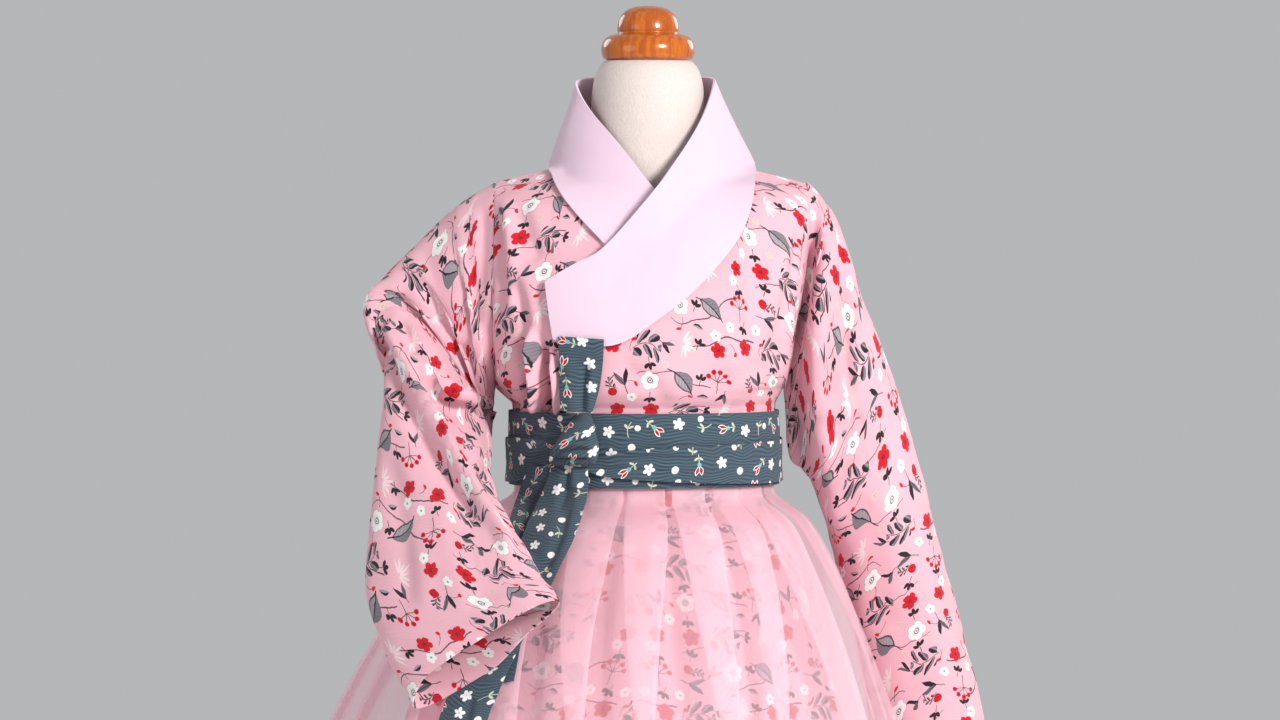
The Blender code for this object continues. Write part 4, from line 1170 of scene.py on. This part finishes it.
def sleeve_grid(stations, count, flip):
    s = spline(stations, count)
    s[0] = stations[0]
    outer, inner, half = s[:, 0:3], s[:, 3:6], s[:, 6]
    centre, reach = 0.5 * (outer + inner), 0.5 * (outer - inner)
    along = np.gradient(centre, axis=0)
    w = flip * np.cross(along, -reach)
    w = w / np.linalg.norm(w, axis=1, keepdims=True)
    share = np.linspace(0, 1, count)
    free = smooth_step(share, 0, 0.06)[:, None]
    w = np.array([0.0, -1.0, 0.0]) * (1 - free) + w * free
    w = w / np.linalg.norm(w, axis=1, keepdims=True)
    t = around(144)
    power = 2.0 + 0.4 * np.minimum(1.0, share / 0.24)[:, None]
    cs, sn = np.cos(t)[None, :], np.sin(t)[None, :]
    u = np.sign(cs) * np.abs(cs) ** (2 / power)
    v = np.sign(sn) * np.abs(sn) ** (2 / power)
    thick = (v * half[:, None])[..., None] * w[:, None, :]
    grid = centre[:, None, :] + u[..., None] * reach[:, None, :] + thick
    return grid, centre, along / np.linalg.norm(along, axis=1, keepdims=True), share


def even_around(grid):
    """The same rings with their points spread evenly along them."""
    out = np.empty_like(grid)
    for i, ring in enumerate(grid):
        closed = np.vstack([ring, ring[:1]])
        d = np.concatenate([[0], np.cumsum(np.linalg.norm(np.diff(closed, axis=0), axis=1))])
        want = np.linspace(0, d[-1], len(ring) + 1)[:-1]
        for k in range(3):
            out[i, :, k] = np.interp(want, d, closed[:, k])
    return out


def build_sleeve(name, stations, flip, droop, shift, seed, flat_size):
    grid, centre, along, share = sleeve_grid(stations, 150, flip)
    grid = even_around(grid)
    flat = tube_cut(grid, 0.3)
    start = smooth_step(share, 0.0, 0.035)[:, None]
    middle = np.repeat(centre[:, 1:2], grid.shape[1], axis=1)
    sunk = grid
    for row in SLEEVE_HOLLOWS[name]:
        sunk = hollow(sunk, middle, *row)
    grid = grid + (sunk - grid) * start[..., None]
    normals = outward_normals(grid, True, centre[:, None, :])
    move = ripples(flat[:, :-1, 0], flat[:, :-1, 1], seed, 0.0009, normals) * start[..., None]
    move = pressed(move, grid, normals, SLEEVE_CREASES[name], (0.12, 0.12), start[..., None])
    back_side = np.clip((grid[..., 1] - centre[:, None, 1]) / 0.016, 0, 1)
    hang = droop * smooth_step(share, 0.8, 1.0)[:, None] * smooth_step(back_side, 0, 1)
    grid = grid + move + hang[..., None] * along[:, None, :]
    cut = tube_cut(grid, 0.3, shift)
    obj = cloth(name + "_cloth", grid, cut, COTTON, FLORAL, centre[:, None, :], wrap=True)
    settle(obj, "floral_cotton", name, flat=flat_size, held="draped", rests_on=["jeogori_back_cloth"])


def build_sleeves():
    build_sleeve("sleeve_right", SLEEVE_RIGHT, 1, 0.01, (0.03, 0.02), 11, (0.31, 0.41))
    build_sleeve("sleeve_left", SLEEVE_LEFT, -1, 0.0, (0.07, 0.05), 12, (0.33, 0.44))


# Collar: upper and lower edge of one ribbon, over end round the neck to under end
COLLAR_EDGES = [  # upper x y z, lower x y z
    (-0.075, -0.085, 0.807, -0.0685, -0.09, 0.764),
    (-0.051, -0.092, 0.823, -0.04, -0.098, 0.759),
    (-0.03, -0.094, 0.836, -0.018, -0.102, 0.761),
    (0.008, -0.082, 0.879, 0.008, -0.104, 0.777),
    (0.025, -0.064, 0.902, 0.043, -0.096, 0.805),
    (0.04, -0.046, 0.925, 0.073, -0.066, 0.84),
    (0.05, -0.028, 0.945, 0.084, -0.034, 0.874),
    (0.056, -0.01, 0.963, 0.088, 0.002, 0.9),
    (0.0545, 0.014, 0.968, 0.079, 0.034, 0.899),
    (0.04, 0.04, 0.969, 0.054, 0.062, 0.888),
    (0.003, 0.055, 0.969, 0.003, 0.0755, 0.881),
    (-0.034, 0.04, 0.969, -0.048, 0.062, 0.888),
    (-0.05, 0.014, 0.967, -0.071, 0.034, 0.899),
    (-0.054, -0.01, 0.961, -0.076, 0.002, 0.9),
    (-0.044, -0.026, 0.943, -0.071, -0.026, 0.882),
    (-0.023, -0.044, 0.919, -0.059, -0.054, 0.863),
    (-0.007, -0.056, 0.899, -0.029, -0.08, 0.833),
    (0.008, -0.064, 0.879, -0.01, -0.088, 0.819),
    (0.018, -0.068, 0.867, 0.0, -0.09, 0.814),
]


def collar_grid(count, across):
    s = spline(COLLAR_EDGES, count)
    f = np.linspace(0, 1, across)[:, None, None]
    grid = s[None, :, 0:3] * (1 - f) + s[None, :, 3:6] * f
    over = np.arange(count) < count * 0.42
    lift = np.where(over, 0.0048, 0.0041)[None, :]
    for _ in range(4):
        x, y, z = (grid[..., k] for k in range(3))
        front = y < 0.01
        y_front = np.where(over[None, :], body_y(x, z, -1), body_y(x, z, -1, UNDER))
        surface = np.where(front, y_front, body_y(x, z, 1))
        n_front = np.where(over[None, :, None], body_normals(x, z, -1), body_normals(x, z, -1, UNDER))
        n = np.where(front[..., None], n_front, body_normals(x, z, 1))
        face = np.where(front, -1.0, 1.0)
        gap = (y - surface) * face * np.abs(n[..., 1])
        push = np.where((gap < lift) & (z <= shoulder_z(x) - 0.001), lift - gap, 0.0)
        grid = grid + n * push[..., None]
    return grid


def soften(grid, passes):
    """Evens out a grid's depth without moving its border."""
    for _ in range(passes):
        inner = 0.25 * (grid[:-2, 1:-1] + grid[2:, 1:-1] + grid[1:-1, :-2] + grid[1:-1, 2:])
        grid[1:-1, 1:-1] = 0.5 * grid[1:-1, 1:-1] + 0.5 * inner
        for edge in (0, -1):
            grid[edge, 1:-1] = 0.5 * grid[edge, 1:-1] + 0.25 * (grid[edge, :-2] + grid[edge, 2:])
    return grid


def build_collar():
    grid = soften(collar_grid(300, 30), 6)
    u, v = lengths(grid, 1), lengths(grid, 0)
    neck = np.array([0.0, 0.0, 0.86])
    grid = grid + ripples(v, u, 21, 0.0004, outward_normals(grid, False, neck), 0.09)
    obj = cloth("git_collar_cloth", grid, np.stack([v, u], axis=-1), COLLAR_CLOTH, COLLAR, neck)
    settle(obj, "collar_cotton", "git_collar",
           flat=(0.08, 0.58), held="folded", rests_on=["jeogori_front_left_cloth", "form_cover"])


# Sash
def belt_point(t, z, out):
    a, b = 0.1062 + out, 0.0842 + out
    return np.stack([a * np.sin(t), -b * np.cos(t), z + 0 * t], axis=-1)


def belt_low(t):
    return BELT_LOW + 0.0035 + 0.003 * np.cos(t)


def belt_high(t):
    return BELT_HIGH + 0.0025 + 0.0025 * np.cos(t)


TURN = Table("degrees low high", [
    (-26, 0.662, 0.668), (-16, 0.656, 0.671), (-4, 0.654, 0.677), (25, 0.6505, 0.679), (60, 0.6475, 0.68),
    (180, 0.645, 0.68), (270, 0.646, 0.68), (296, 0.648, 0.683), (312, 0.656, 0.682), (326, 0.666, 0.676)])
BELT_CREASES = [  # face, depth, width, lip, line
    (-1, -0.0022, 0.0024, 0.8, [(-0.052, 0.688), (-0.07, 0.689), (-0.098, 0.694)]),
    (-1, -0.0022, 0.0022, 0.8, [(-0.05, 0.684), (-0.072, 0.683), (-0.1, 0.687)]),
    (-1, -0.0014, 0.0022, 0.6, [(-0.03, 0.688), (0.0, 0.691), (0.04, 0.69)]),
    (-1, -0.0007, 0.002, 0.4, [(0.03, 0.698), (0.065, 0.694), (0.1, 0.695)]),
    (1, -0.0009, 0.003, 0.4, [(-0.08, 0.69), (-0.02, 0.688), (0.06, 0.692)]),
]
WRAP_CREASES = [
    (-1, -0.0014, 0.0022, 0.8, [(-0.044, 0.664), (-0.024, 0.669), (0.005, 0.671), (0.06, 0.668)]),
    (-1, -0.0012, 0.0022, 0.8, [(-0.044, 0.661), (-0.02, 0.662), (0.03, 0.659), (0.08, 0.66)]),
    (-1, -0.0018, 0.0024, 0.8, [(-0.062, 0.673), (-0.078, 0.67), (-0.1, 0.668)]),
    (1, -0.0007, 0.003, 0.4, [(-0.07, 0.665), (0.0, 0.668), (0.07, 0.662)]),
]
WALL = 0.002


def build_turn(name, grid, u, v, seed, height, creases, cut, wrap, **sheet):
    """One turn of the sash, its creases pressed in."""
    middle = np.array([0, 0, 0.67])
    normals = outward_normals(grid, wrap, middle)
    move = pressed(ripples(u * 0.4, v, seed, height, normals, 0.03), grid, normals, creases)
    obj = cloth(name + "_cloth", grid + move, cut, RIBBON_CLOTH, SASH, middle, wrap)
    settle(obj, "sash_print", name, held="stretched", **sheet)


def build_belt():
    t = around(400)
    f = np.linspace(0, 1, 26)[:, None]
    z = belt_low(t) * (1 - f) + belt_high(t) * f
    grid = belt_point(t[None, :] + 0 * z, z, WALL + 0.0006 * np.sin(math.pi * f))
    cut = tube_cut(grid, 0.0)
    build_turn("belt_band", grid, cut[:, :-1, 0], cut[:, :-1, 1], 31, 0.00035, BELT_CREASES, cut, True,
               flat=(0.62, 0.06), rests_on=["jeogori_front_left_cloth", "jeogori_back_cloth"])

    d = np.linspace(-26, 326, 400)
    a = np.radians(d)
    f = np.linspace(0, 1, 18)[:, None]
    z = TURN.at("low", d) * (1 - f) + TURN.at("high", d) * f
    puff = 0.0006 * np.sqrt(np.clip(np.sin(math.pi * f), 0, 1))
    loose = 0.0026 * (1 - smooth_step(f, 0.0, 0.35)) + 0.0012 * smooth_step(f, 0.75, 1.0)
    ahead = 0.25 + 0.75 * np.abs(np.cos(a))[None, :] ** 0.7
    grid = belt_point(a[None, :] + 0 * z, z, WALL + 0.0024 + (puff + loose) * ahead)
    u = lengths(grid, 1)
    cut = np.stack([u + 0.031, z + 0.011], axis=-1)
    build_turn("belt_wrap", grid, u, z, 32, 0.0003, WRAP_CREASES, cut, False,
               flat=(0.62, 0.034), rests_on=["belt_band_cloth"])


def front_surface(x, z):
    """Foremost depth of the sash or of the sheer skirt at a point seen from the front."""
    sash = -0.0896 * np.sqrt(np.maximum(0.0, 1 - (x / 0.1118) ** 2))
    a, b = ORGANZA.at("half_width", z), ORGANZA.at("half_depth", z)
    cx, cy = ORGANZA.at("centre_x", z), ORGANZA.at("centre_y", z)
    skirt = cy - b * np.sqrt(np.maximum(0.0, 1 - ((x - cx) / a) ** 2))
    return np.where(z > 0.6, np.minimum(sash, skirt), skirt)


STRAP = [  # left x z, right x z
    (-0.0665, 0.766, -0.031, 0.764),
    (-0.066, 0.745, -0.032, 0.744),
    (-0.0655, 0.725, -0.035, 0.724),
    (-0.065, 0.708, -0.04, 0.707),
]
TAIL_FRONT = [
    (-0.072, 0.6662, -0.044, 0.6662),
    (-0.077, 0.65, -0.044, 0.644),
    (-0.087, 0.627, -0.052, 0.616),
    (-0.101, 0.596, -0.066, 0.588),
    (-0.108, 0.566, -0.079, 0.564),
    (-0.123, 0.528, -0.099, 0.526),
    (-0.14, 0.508, -0.109, 0.504),
    (-0.153, 0.487, -0.118, 0.482),
    (-0.162, 0.44, -0.128, 0.436),
    (-0.166, 0.39, -0.133, 0.37),
]
TAIL_BACK = [
    (-0.09, 0.664, -0.0745, 0.661),
    (-0.101, 0.635, -0.079, 0.63),
    (-0.111, 0.599, -0.085, 0.595),
    (-0.118, 0.56, -0.09, 0.56),
    (-0.124, 0.524, -0.096, 0.524),
    (-0.123, 0.506, -0.0985, 0.51),
]
KNOT = [  # z, left x, right x, half thickness
    (0.7055, -0.05, -0.042, 0.002),
    (0.699, -0.057, -0.0395, 0.006),
    (0.69, -0.064, -0.0375, 0.0085),
    (0.68, -0.07, -0.035, 0.0105),
    (0.6725, -0.073, -0.036, 0.0105),
    (0.6675, -0.0745, -0.038, 0.0085),
    (0.664, -0.072, -0.042, 0.004),
]
KNOT_CREASES = [
    (-1, -0.004, 0.002, 0.5, [(-0.073, 0.669), (-0.064, 0.675), (-0.052, 0.6785), (-0.038, 0.6775)]),
    (-1, -0.0028, 0.002, 0.5, [(-0.071, 0.672), (-0.062, 0.68), (-0.052, 0.685), (-0.042, 0.686)]),
    (-1, -0.0034, 0.0018, 0.5, [(-0.074, 0.667), (-0.06, 0.67), (-0.04, 0.67)]),
]
# How far the print is turned on the knot
KNOT_TURN = math.radians(38)
RIBBON_CREASES = {
    "goreum_strap": [
        (-1, -0.0035, 0.0028, 0.5, [(-0.045, 0.745), (-0.047, 0.725), (-0.048, 0.7)]),
        (-1, 0.0015, 0.005, 0.2, [(-0.059, 0.75), (-0.058, 0.725), (-0.056, 0.705)]),
    ],
    "tail_front": [
        (-1, -0.0035, 0.003, 0.4, [(-0.06, 0.668), (-0.061, 0.65), (-0.068, 0.625)]),
        (-1, -0.003, 0.004, 0.5, [(-0.056, 0.65), (-0.066, 0.61), (-0.082, 0.58)]),
        (-1, 0.003, 0.0045, 0.2, [(-0.088, 0.6), (-0.095, 0.56), (-0.11, 0.52)]),
        (-1, -0.0025, 0.004, 0.4, [(-0.13, 0.5), (-0.142, 0.45), (-0.148, 0.4)]),
    ],
    "tail_back": [
        (-1, -0.0015, 0.004, 0.4, [(-0.085, 0.64), (-0.095, 0.6), (-0.105, 0.56)]),
    ],
}


def build_strip(name, stations, bow, surface, lift, share, seed, flat):
    s = spline(stations, 180)
    f = np.linspace(0, 1, 24)[None, :]
    x = s[:, 0:1] * (1 - f) + s[:, 2:3] * f
    z = s[:, 1:2] * (1 - f) + s[:, 3:4] * f
    y = surface(x, z) - lift(z) - bow * 4 * f * (1 - f)
    for _ in range(60):
        y[1:-1] = np.minimum(y[1:-1], 0.5 * (y[:-2] + y[2:]))
    grid = np.stack([x, y, z], axis=-1)
    behind = np.array([0.0, 1.0, 0.0])
    n = outward_normals(grid, False, grid + behind)
    u, v = lengths(grid, 1), lengths(grid, 0)
    move = ripples(u, v, seed, 0.0005, n, 0.04)
    grid = grid + pressed(move, grid, n, RIBBON_CREASES[name], (0.05, 0.25))
    cut = np.stack([u + share[0], -v + share[1]], axis=-1)
    obj = cloth(name + "_cloth", grid, cut, RIBBON_CLOTH, SASH, grid + behind)
    settle(obj, "sash_print", name, flat=flat, held="hung", rests_on=["belt_band_cloth"])


def build_knot():
    """The tied turn of the ribbon: a soft lump with folds drawn to its left and right ends."""
    rings = []
    a = 2 * math.pi * np.arange(96) / 96
    for z, left, right, half in spline(KNOT, 60):
        mid, reach = 0.5 * (left + right), 0.5 * (right - left)
        x = mid + reach * np.sign(np.cos(a)) * np.abs(np.cos(a)) ** 0.9
        y = front_surface(x, z + 0 * x) - half - 0.0003 + half * np.sin(a)
        rings.append(np.stack([x, y, z + 0 * x], axis=-1))
    grid = np.array(rings)
    n = outward_normals(grid, True, grid.mean(axis=(0, 1)))
    for row in KNOT_CREASES:
        grid = pressed(grid, grid, n, [row], (0.1, 0.2))
    u, v = np.moveaxis(tube_cut(grid, 0.0), -1, 0)
    cos, sin = math.cos(KNOT_TURN), math.sin(KNOT_TURN)
    cut = np.stack([u * cos - v * sin + 0.012, u * sin + v * cos], axis=-1)
    obj = skin("belt_knot_cloth", grid, cut, SASH)
    settle(obj, "sash_print", "belt_knot", flat=(0.075, 0.04), held="folded", rests_on=["belt_band_cloth"])


def build_ribbons():
    build_strip("goreum_strap", STRAP, 0.001, lambda x, z: body_y(x, np.maximum(z, 0.735), -1),
                lambda z: 0.007, (0.004, 0.031), 41, (0.034, 0.06))
    build_strip("tail_front", TAIL_FRONT, 0.002, front_surface,
                lambda z: 0.0032 + 0.0076 * np.clip((0.66 - z) / 0.018, 0, 1),
                (0.013, 0.072), 42, (0.04, 0.36))
    build_strip("tail_back", TAIL_BACK, 0.0, front_surface,
                lambda z: 0.0032, (0.052, 0.093), 43, (0.03, 0.22))
    build_knot()


# Skirts
PRINT = Table("z half_width half_depth centre_x centre_y wave", [
    (0.11, 0.295, 0.285, -0.02, -0.006, 0.013),
    (0.22, 0.262, 0.252, -0.018, -0.006, 0.011),
    (0.34, 0.224, 0.212, -0.014, -0.006, 0.009),
    (0.455, 0.185, 0.173, -0.01, -0.006, 0.006),
    (0.54, 0.15, 0.136, -0.006, -0.004, 0.0035),
    (0.595, 0.126, 0.108, -0.002, -0.002, 0.0015),
    (0.6385, 0.0993, 0.0778, 0.0, 0.0, 0.0),
    (0.6508, 0.0992, 0.0777, 0.0, 0.0, 0.0),
])
ORGANZA = Table("z half_width half_depth centre_x centre_y open step wave dent", [
    (FLOOR_TO_HEM, 0.372, 0.36, -0.027, -0.01, 1.0, 0.0016, 0.013, 0.0),
    (0.19, 0.338, 0.326, -0.025, -0.01, 0.9, 0.0022, 0.012, 0.0),
    (0.3, 0.299, 0.286, -0.023, -0.01, 0.76, 0.0034, 0.0105, 0.01),
    (0.41, 0.255, 0.24, -0.02, -0.01, 0.58, 0.0036, 0.008, 0.032),
    (0.475, 0.226, 0.209, -0.0175, -0.009, 0.42, 0.0038, 0.0055, 0.028),
    (0.54, 0.191, 0.172, -0.0135, -0.008, 0.28, 0.0036, 0.0035, 0.012),
    (0.584, 0.16, 0.14, -0.007, -0.006, 0.15, 0.003, 0.0015, 0.002),
    (0.618, 0.133, 0.113, -0.002, -0.003, 0.05, 0.0022, 0.0005, 0.0),
    (0.6385, 0.105, 0.083, 0.0, 0.0, 0.0, 0.0014, 0.0, 0.0),
    (0.655, 0.1048, 0.0828, 0.0, 0.0, 0.0, 0.0014, 0.0, 0.0),
])
# Fold path of one pleat: share of the step past its outer fold, share folded back, level folded,
# share open, height open
PLEAT_PATH = np.array([
    (0.0, 0.0, 2.0, 0.0, 1.0),
    (0.0, 0.0, 1.0, 0.14, 0.62),
    (0.0, 1.0, 1.0, 0.29, -0.22),
    (0.0, 1.0, 0.0, 0.43, -0.9),
    (0.0, 0.0, 0.0, 0.57, -0.9),
    (0.1, 0.0, 1.0, 0.71, -0.22),
    (0.22, 0.0, 2.0, 0.86, 0.62),
])
# Share of a pleat's width that its fold covers
OVERLAP = Table("z share", [
    (0.3, 0.0), (0.36, 0.1), (0.41, 0.2), (0.455, 0.29), (0.52, 0.45), (0.575, 0.62),
    (0.62, 0.78), (0.6385, 0.82), (0.655, 0.82)])
# How far each pleat's fold has swung round, in degrees at the height of the photo's lower edge
PLEAT_SWING = {
    0: -3.8, 1: -3.8, 2: -13.0, 3: -6.4, 4: 2.0, 7: 3.0, 10: -3.0, 13: 2.5, 16: -2.0, 18: 6.9, 19: 1.6}


def dent(t, z):
    """The hanging sleeve presses the sheer skirt in at its side."""
    d = np.degrees(t) % 360
    return ORGANZA.at("dent", z) * np.exp(-((d - 110) / 30.0) ** 2)


def organza_ring(z):
    a, b, cx, cy, opened, step, wave = (float(ORGANZA.at(k, z)) for k in (
        "half_width", "half_depth", "centre_x", "centre_y", "open", "step", "wave"))
    ahead, behind, level, share, height = PLEAT_PATH.T
    overlap = float(OVERLAP.at("share", z))
    base = FIRST_PLEAT + np.arange(PLEATS)[:, None] * PLEAT_STEP
    uneven = 1 + 0.16 * np.sin(np.arange(PLEATS) * 2.4 + 0.7)[:, None]
    t = base + PLEAT_STEP * (ahead * (1 - opened) - behind * overlap * uneven + share * opened)
    r = (level - 2.0) * step * (1 - opened) + wave * (height - 1.0) * opened * uneven - dent(t, z)
    pleats = range(-1, PLEATS + 2)
    swing = [PLEAT_SWING.get(k % PLEATS, 0.0) for k in pleats]
    swing = np.interp((t - FIRST_PLEAT) / PLEAT_STEP, pleats, swing)
    t = t + np.radians(swing) * float(np.clip((0.64 - z) / 0.185, 0, 1.3)) ** 1.3
    nx, ny = np.sin(t) / a, -np.cos(t) / b
    n = np.hypot(nx, ny)
    x, y = cx + a * np.sin(t) + r * nx / n, cy - b * np.cos(t) + r * ny / n
    return np.stack([x, y], axis=-1).reshape(-1, 2)


def rounded(ring, passes):
    """Cuts the corners of a closed loop, so that folds turn softly."""
    for _ in range(passes):
        after = np.roll(ring, -1, axis=0)
        ring = np.stack([0.75 * ring + 0.25 * after, 0.25 * ring + 0.75 * after], axis=1).reshape(-1, 2)
    return ring


def build_organza():
    low, high = np.linspace(FLOOR_TO_HEM, 0.55, 56), np.linspace(0.55, 0.6385, 26)
    z = np.concatenate([low, high[1:], [0.647, 0.655]])
    grid = []
    for height in z:
        ring = rounded(organza_ring(height), 2)
        grid.append(np.column_stack([ring, np.full(len(ring), height)]))
    grid = np.array(grid)
    obj = skin("skirt_organza_cloth", grid, tube_cut(grid, 0.0), ORGANZA_CLOTH)
    settle(obj, "organza", "skirt_organza",
           flat=(2.47, 0.57), held="gathered", rests_on=["skirt_print_cloth", "belt_band_cloth"])


PRINT_FOLDS = [  # degrees round from the front, depth, width in degrees
    (-3, -0.006, 3.5), (17, -0.006, 3.5), (46, -0.007, 4.0), (-28, -0.006, 4.0), (78, -0.006, 5.0),
    (112, -0.005, 5.0), (150, -0.007, 5.0), (188, -0.006, 5.0), (222, -0.006, 5.0), (262, -0.006, 5.0),
    (300, -0.006, 4.0)]


GORES = 6


def gore_cut(grid):
    """Cut of a flared tube sewn from equal gores, each measured across from its own middle."""
    cols = grid.shape[1]
    part = cols // GORES
    own = lengths(np.concatenate([grid, grid[:, :1]], axis=1), 1)
    fall = -lengths(grid[::-1], 0)[::-1]
    fall = np.concatenate([fall, fall[:, :1]], axis=1)
    both = np.empty((grid.shape[0], 2 * cols, 2))
    for side in (0, 1):
        column = np.arange(cols) + side
        gore = np.arange(cols) // part
        middle = own[:, gore * part + part // 2]
        both[:, side::2, 0] = own[:, column] - middle + 0.371 * gore
        both[:, side::2, 1] = fall[:, column]
    return both


def build_print_skirt():
    z = np.concatenate([np.linspace(0.11, 0.6, 60), np.linspace(0.6, 0.6508, 10)[1:]])
    zz, tt = np.meshgrid(z, around(360), indexing="ij")
    flutes = np.cos(11 * tt + 0.4) * 0.6 + np.cos(6 * tt + 1.1) * 0.4
    wave = -0.6 * dent(tt, zz) + PRINT.at("wave", zz) * flutes
    fade = 1 - smooth_step(zz, 0.45, 0.62)
    for degrees, depth, wide in PRINT_FOLDS:
        off = (np.degrees(tt) - degrees + 180) % 360 - 180
        wave = wave + depth * np.exp(-(off / wide) ** 2) * fade
    a, b = PRINT.at("half_width", zz) + wave, PRINT.at("half_depth", zz) + wave
    x, y = PRINT.at("centre_x", zz) + a * np.sin(tt), PRINT.at("centre_y", zz) - b * np.cos(tt)
    grid = np.stack([x, y, zz], axis=-1)
    obj = cloth("skirt_print_cloth", grid, gore_cut(grid), COTTON, FLORAL, np.zeros(3), wrap=True)
    settle(obj, "floral_cotton", "skirt_print",
           flat=(1.87, 0.58), held="gathered", rests_on=["skirt_band_cloth"], area=0.72)


def build_waistband():
    t = around(240)
    z = np.linspace(0.6512, 0.728, 20)[:, None]
    out = 0.0022 + 0.0026 * smooth_step(z, 0.7, 0.728)
    grid = np.stack([(0.097 + out) * np.sin(t), -(0.0755 + out) * np.cos(t), z + 0 * t], axis=-1)
    middle = np.array([0, 0, 0.69])
    obj = cloth("skirt_band_cloth", grid, tube_cut(grid, 0.0), COTTON, WAISTBAND, middle, wrap=True)
    settle(obj, "waistband_cotton", "skirt_band",
           flat=(0.56, 0.077), held="stretched", rests_on=["form_cover"])


# Floor, light and camera
def build_floor():
    bpy.ops.mesh.primitive_circle_add(vertices=96, radius=2.6, fill_type="NGON", location=(0, 0, -0.0005))
    floor = bpy.context.object
    floor.name = "floor"
    material, tree, shader = new_material("floor_paper")
    length = new_node(tree, "VectorMath", operation="LENGTH")
    feed(tree, length.inputs[0], new_node(tree, "TexCoord").outputs["Object"])
    far = Value(tree, length.outputs["Value"])
    set_values(shader, Base_Color=(0.86, 0.86, 0.87, 1.0), Roughness=0.9, Specular_IOR_Level=0.1)
    faded = far.scaled(1 / 1.5, -1.0 / 1.5).math("MINIMUM", 1.0).math("MAXIMUM", 0.0)
    show(tree, mix_shaders(tree, faded, shader, new_node(tree, "BsdfTransparent")))
    floor.data.materials.append(material)


def area_light(name, place, target, size, power, colour=(1.0, 1.0, 1.0)):
    data = bpy.data.lights.new(name, "AREA")
    data.shape = "DISK"
    data.size = size
    data.energy = power
    data.color = colour
    lamp = bpy.data.objects.new(name, data)
    lamp.location = place
    lamp.rotation_euler = (Vector(target) - Vector(place)).to_track_quat("-Z", "Y").to_euler()
    bpy.context.scene.collection.objects.link(lamp)


def build_light():
    world = bpy.data.worlds.new("studio")
    bpy.context.scene.world = world
    world.use_nodes = True
    background = world.node_tree.nodes["Background"]
    background.inputs["Color"].default_value = (0.86, 0.87, 0.89, 1.0)
    background.inputs["Strength"].default_value = 0.54
    area_light("key", (1.5, -2.1, 1.7), (0.0, 0.0, 0.7), 0.7, 80.0, (1.0, 0.985, 0.97))
    area_light("fill", (-1.7, -1.6, 1.1), (0.0, 0.0, 0.65), 1.4, 7.0, (0.97, 0.98, 1.0))
    area_light("rim_left", (-1.5, 1.5, 1.7), (0.0, 0.0, 0.7), 1.0, 8.0)
    area_light("rim_right", (1.5, 1.7, 1.5), (0.0, 0.0, 0.6), 1.0, 9.0)


# The photo's framing: 1280 pixels wide show 1.024 m at the garment's distance
CAMERA_DISTANCE = 3.0
CAMERA_TILT = math.radians(3.0)
AIM = (-0.0032, 0.0, 0.7424)
FRAME_WIDTH = 1.024


def build_camera():
    data = bpy.data.cameras.new("photo_view")
    data.sensor_width = 36.0
    data.lens = 36.0 * CAMERA_DISTANCE / FRAME_WIDTH
    camera = bpy.data.objects.new("photo_view", data)
    back, up = math.cos(CAMERA_TILT), math.sin(CAMERA_TILT)
    camera.location = (AIM[0], -CAMERA_DISTANCE * back, AIM[2] + CAMERA_DISTANCE * up)
    camera.rotation_euler = (math.pi / 2 - CAMERA_TILT, 0.0, 0.0)
    bpy.context.scene.collection.objects.link(camera)
    bpy.context.scene.camera = camera
    bpy.context.scene.view_settings.view_transform = "Standard"


build_form()
build_turned("cap_wood_turned", CAP_PROFILE, 90, CAP_WOOD, "cap_wood", "form_cap", FORM_X)
build_turned("base_wood_turned", BASE_PROFILE, 60, STAND_WOOD, "stand_wood", "form_base", 0.0)
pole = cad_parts["form_pole"]
pole.data.materials.clear()
pole.data.materials.append(POLE_METAL)
build_waistband()
build_print_skirt()
build_organza()
build_body()
build_sleeves()
build_collar()
build_belt()
build_ribbons()
build_floor()
build_light()
build_camera()
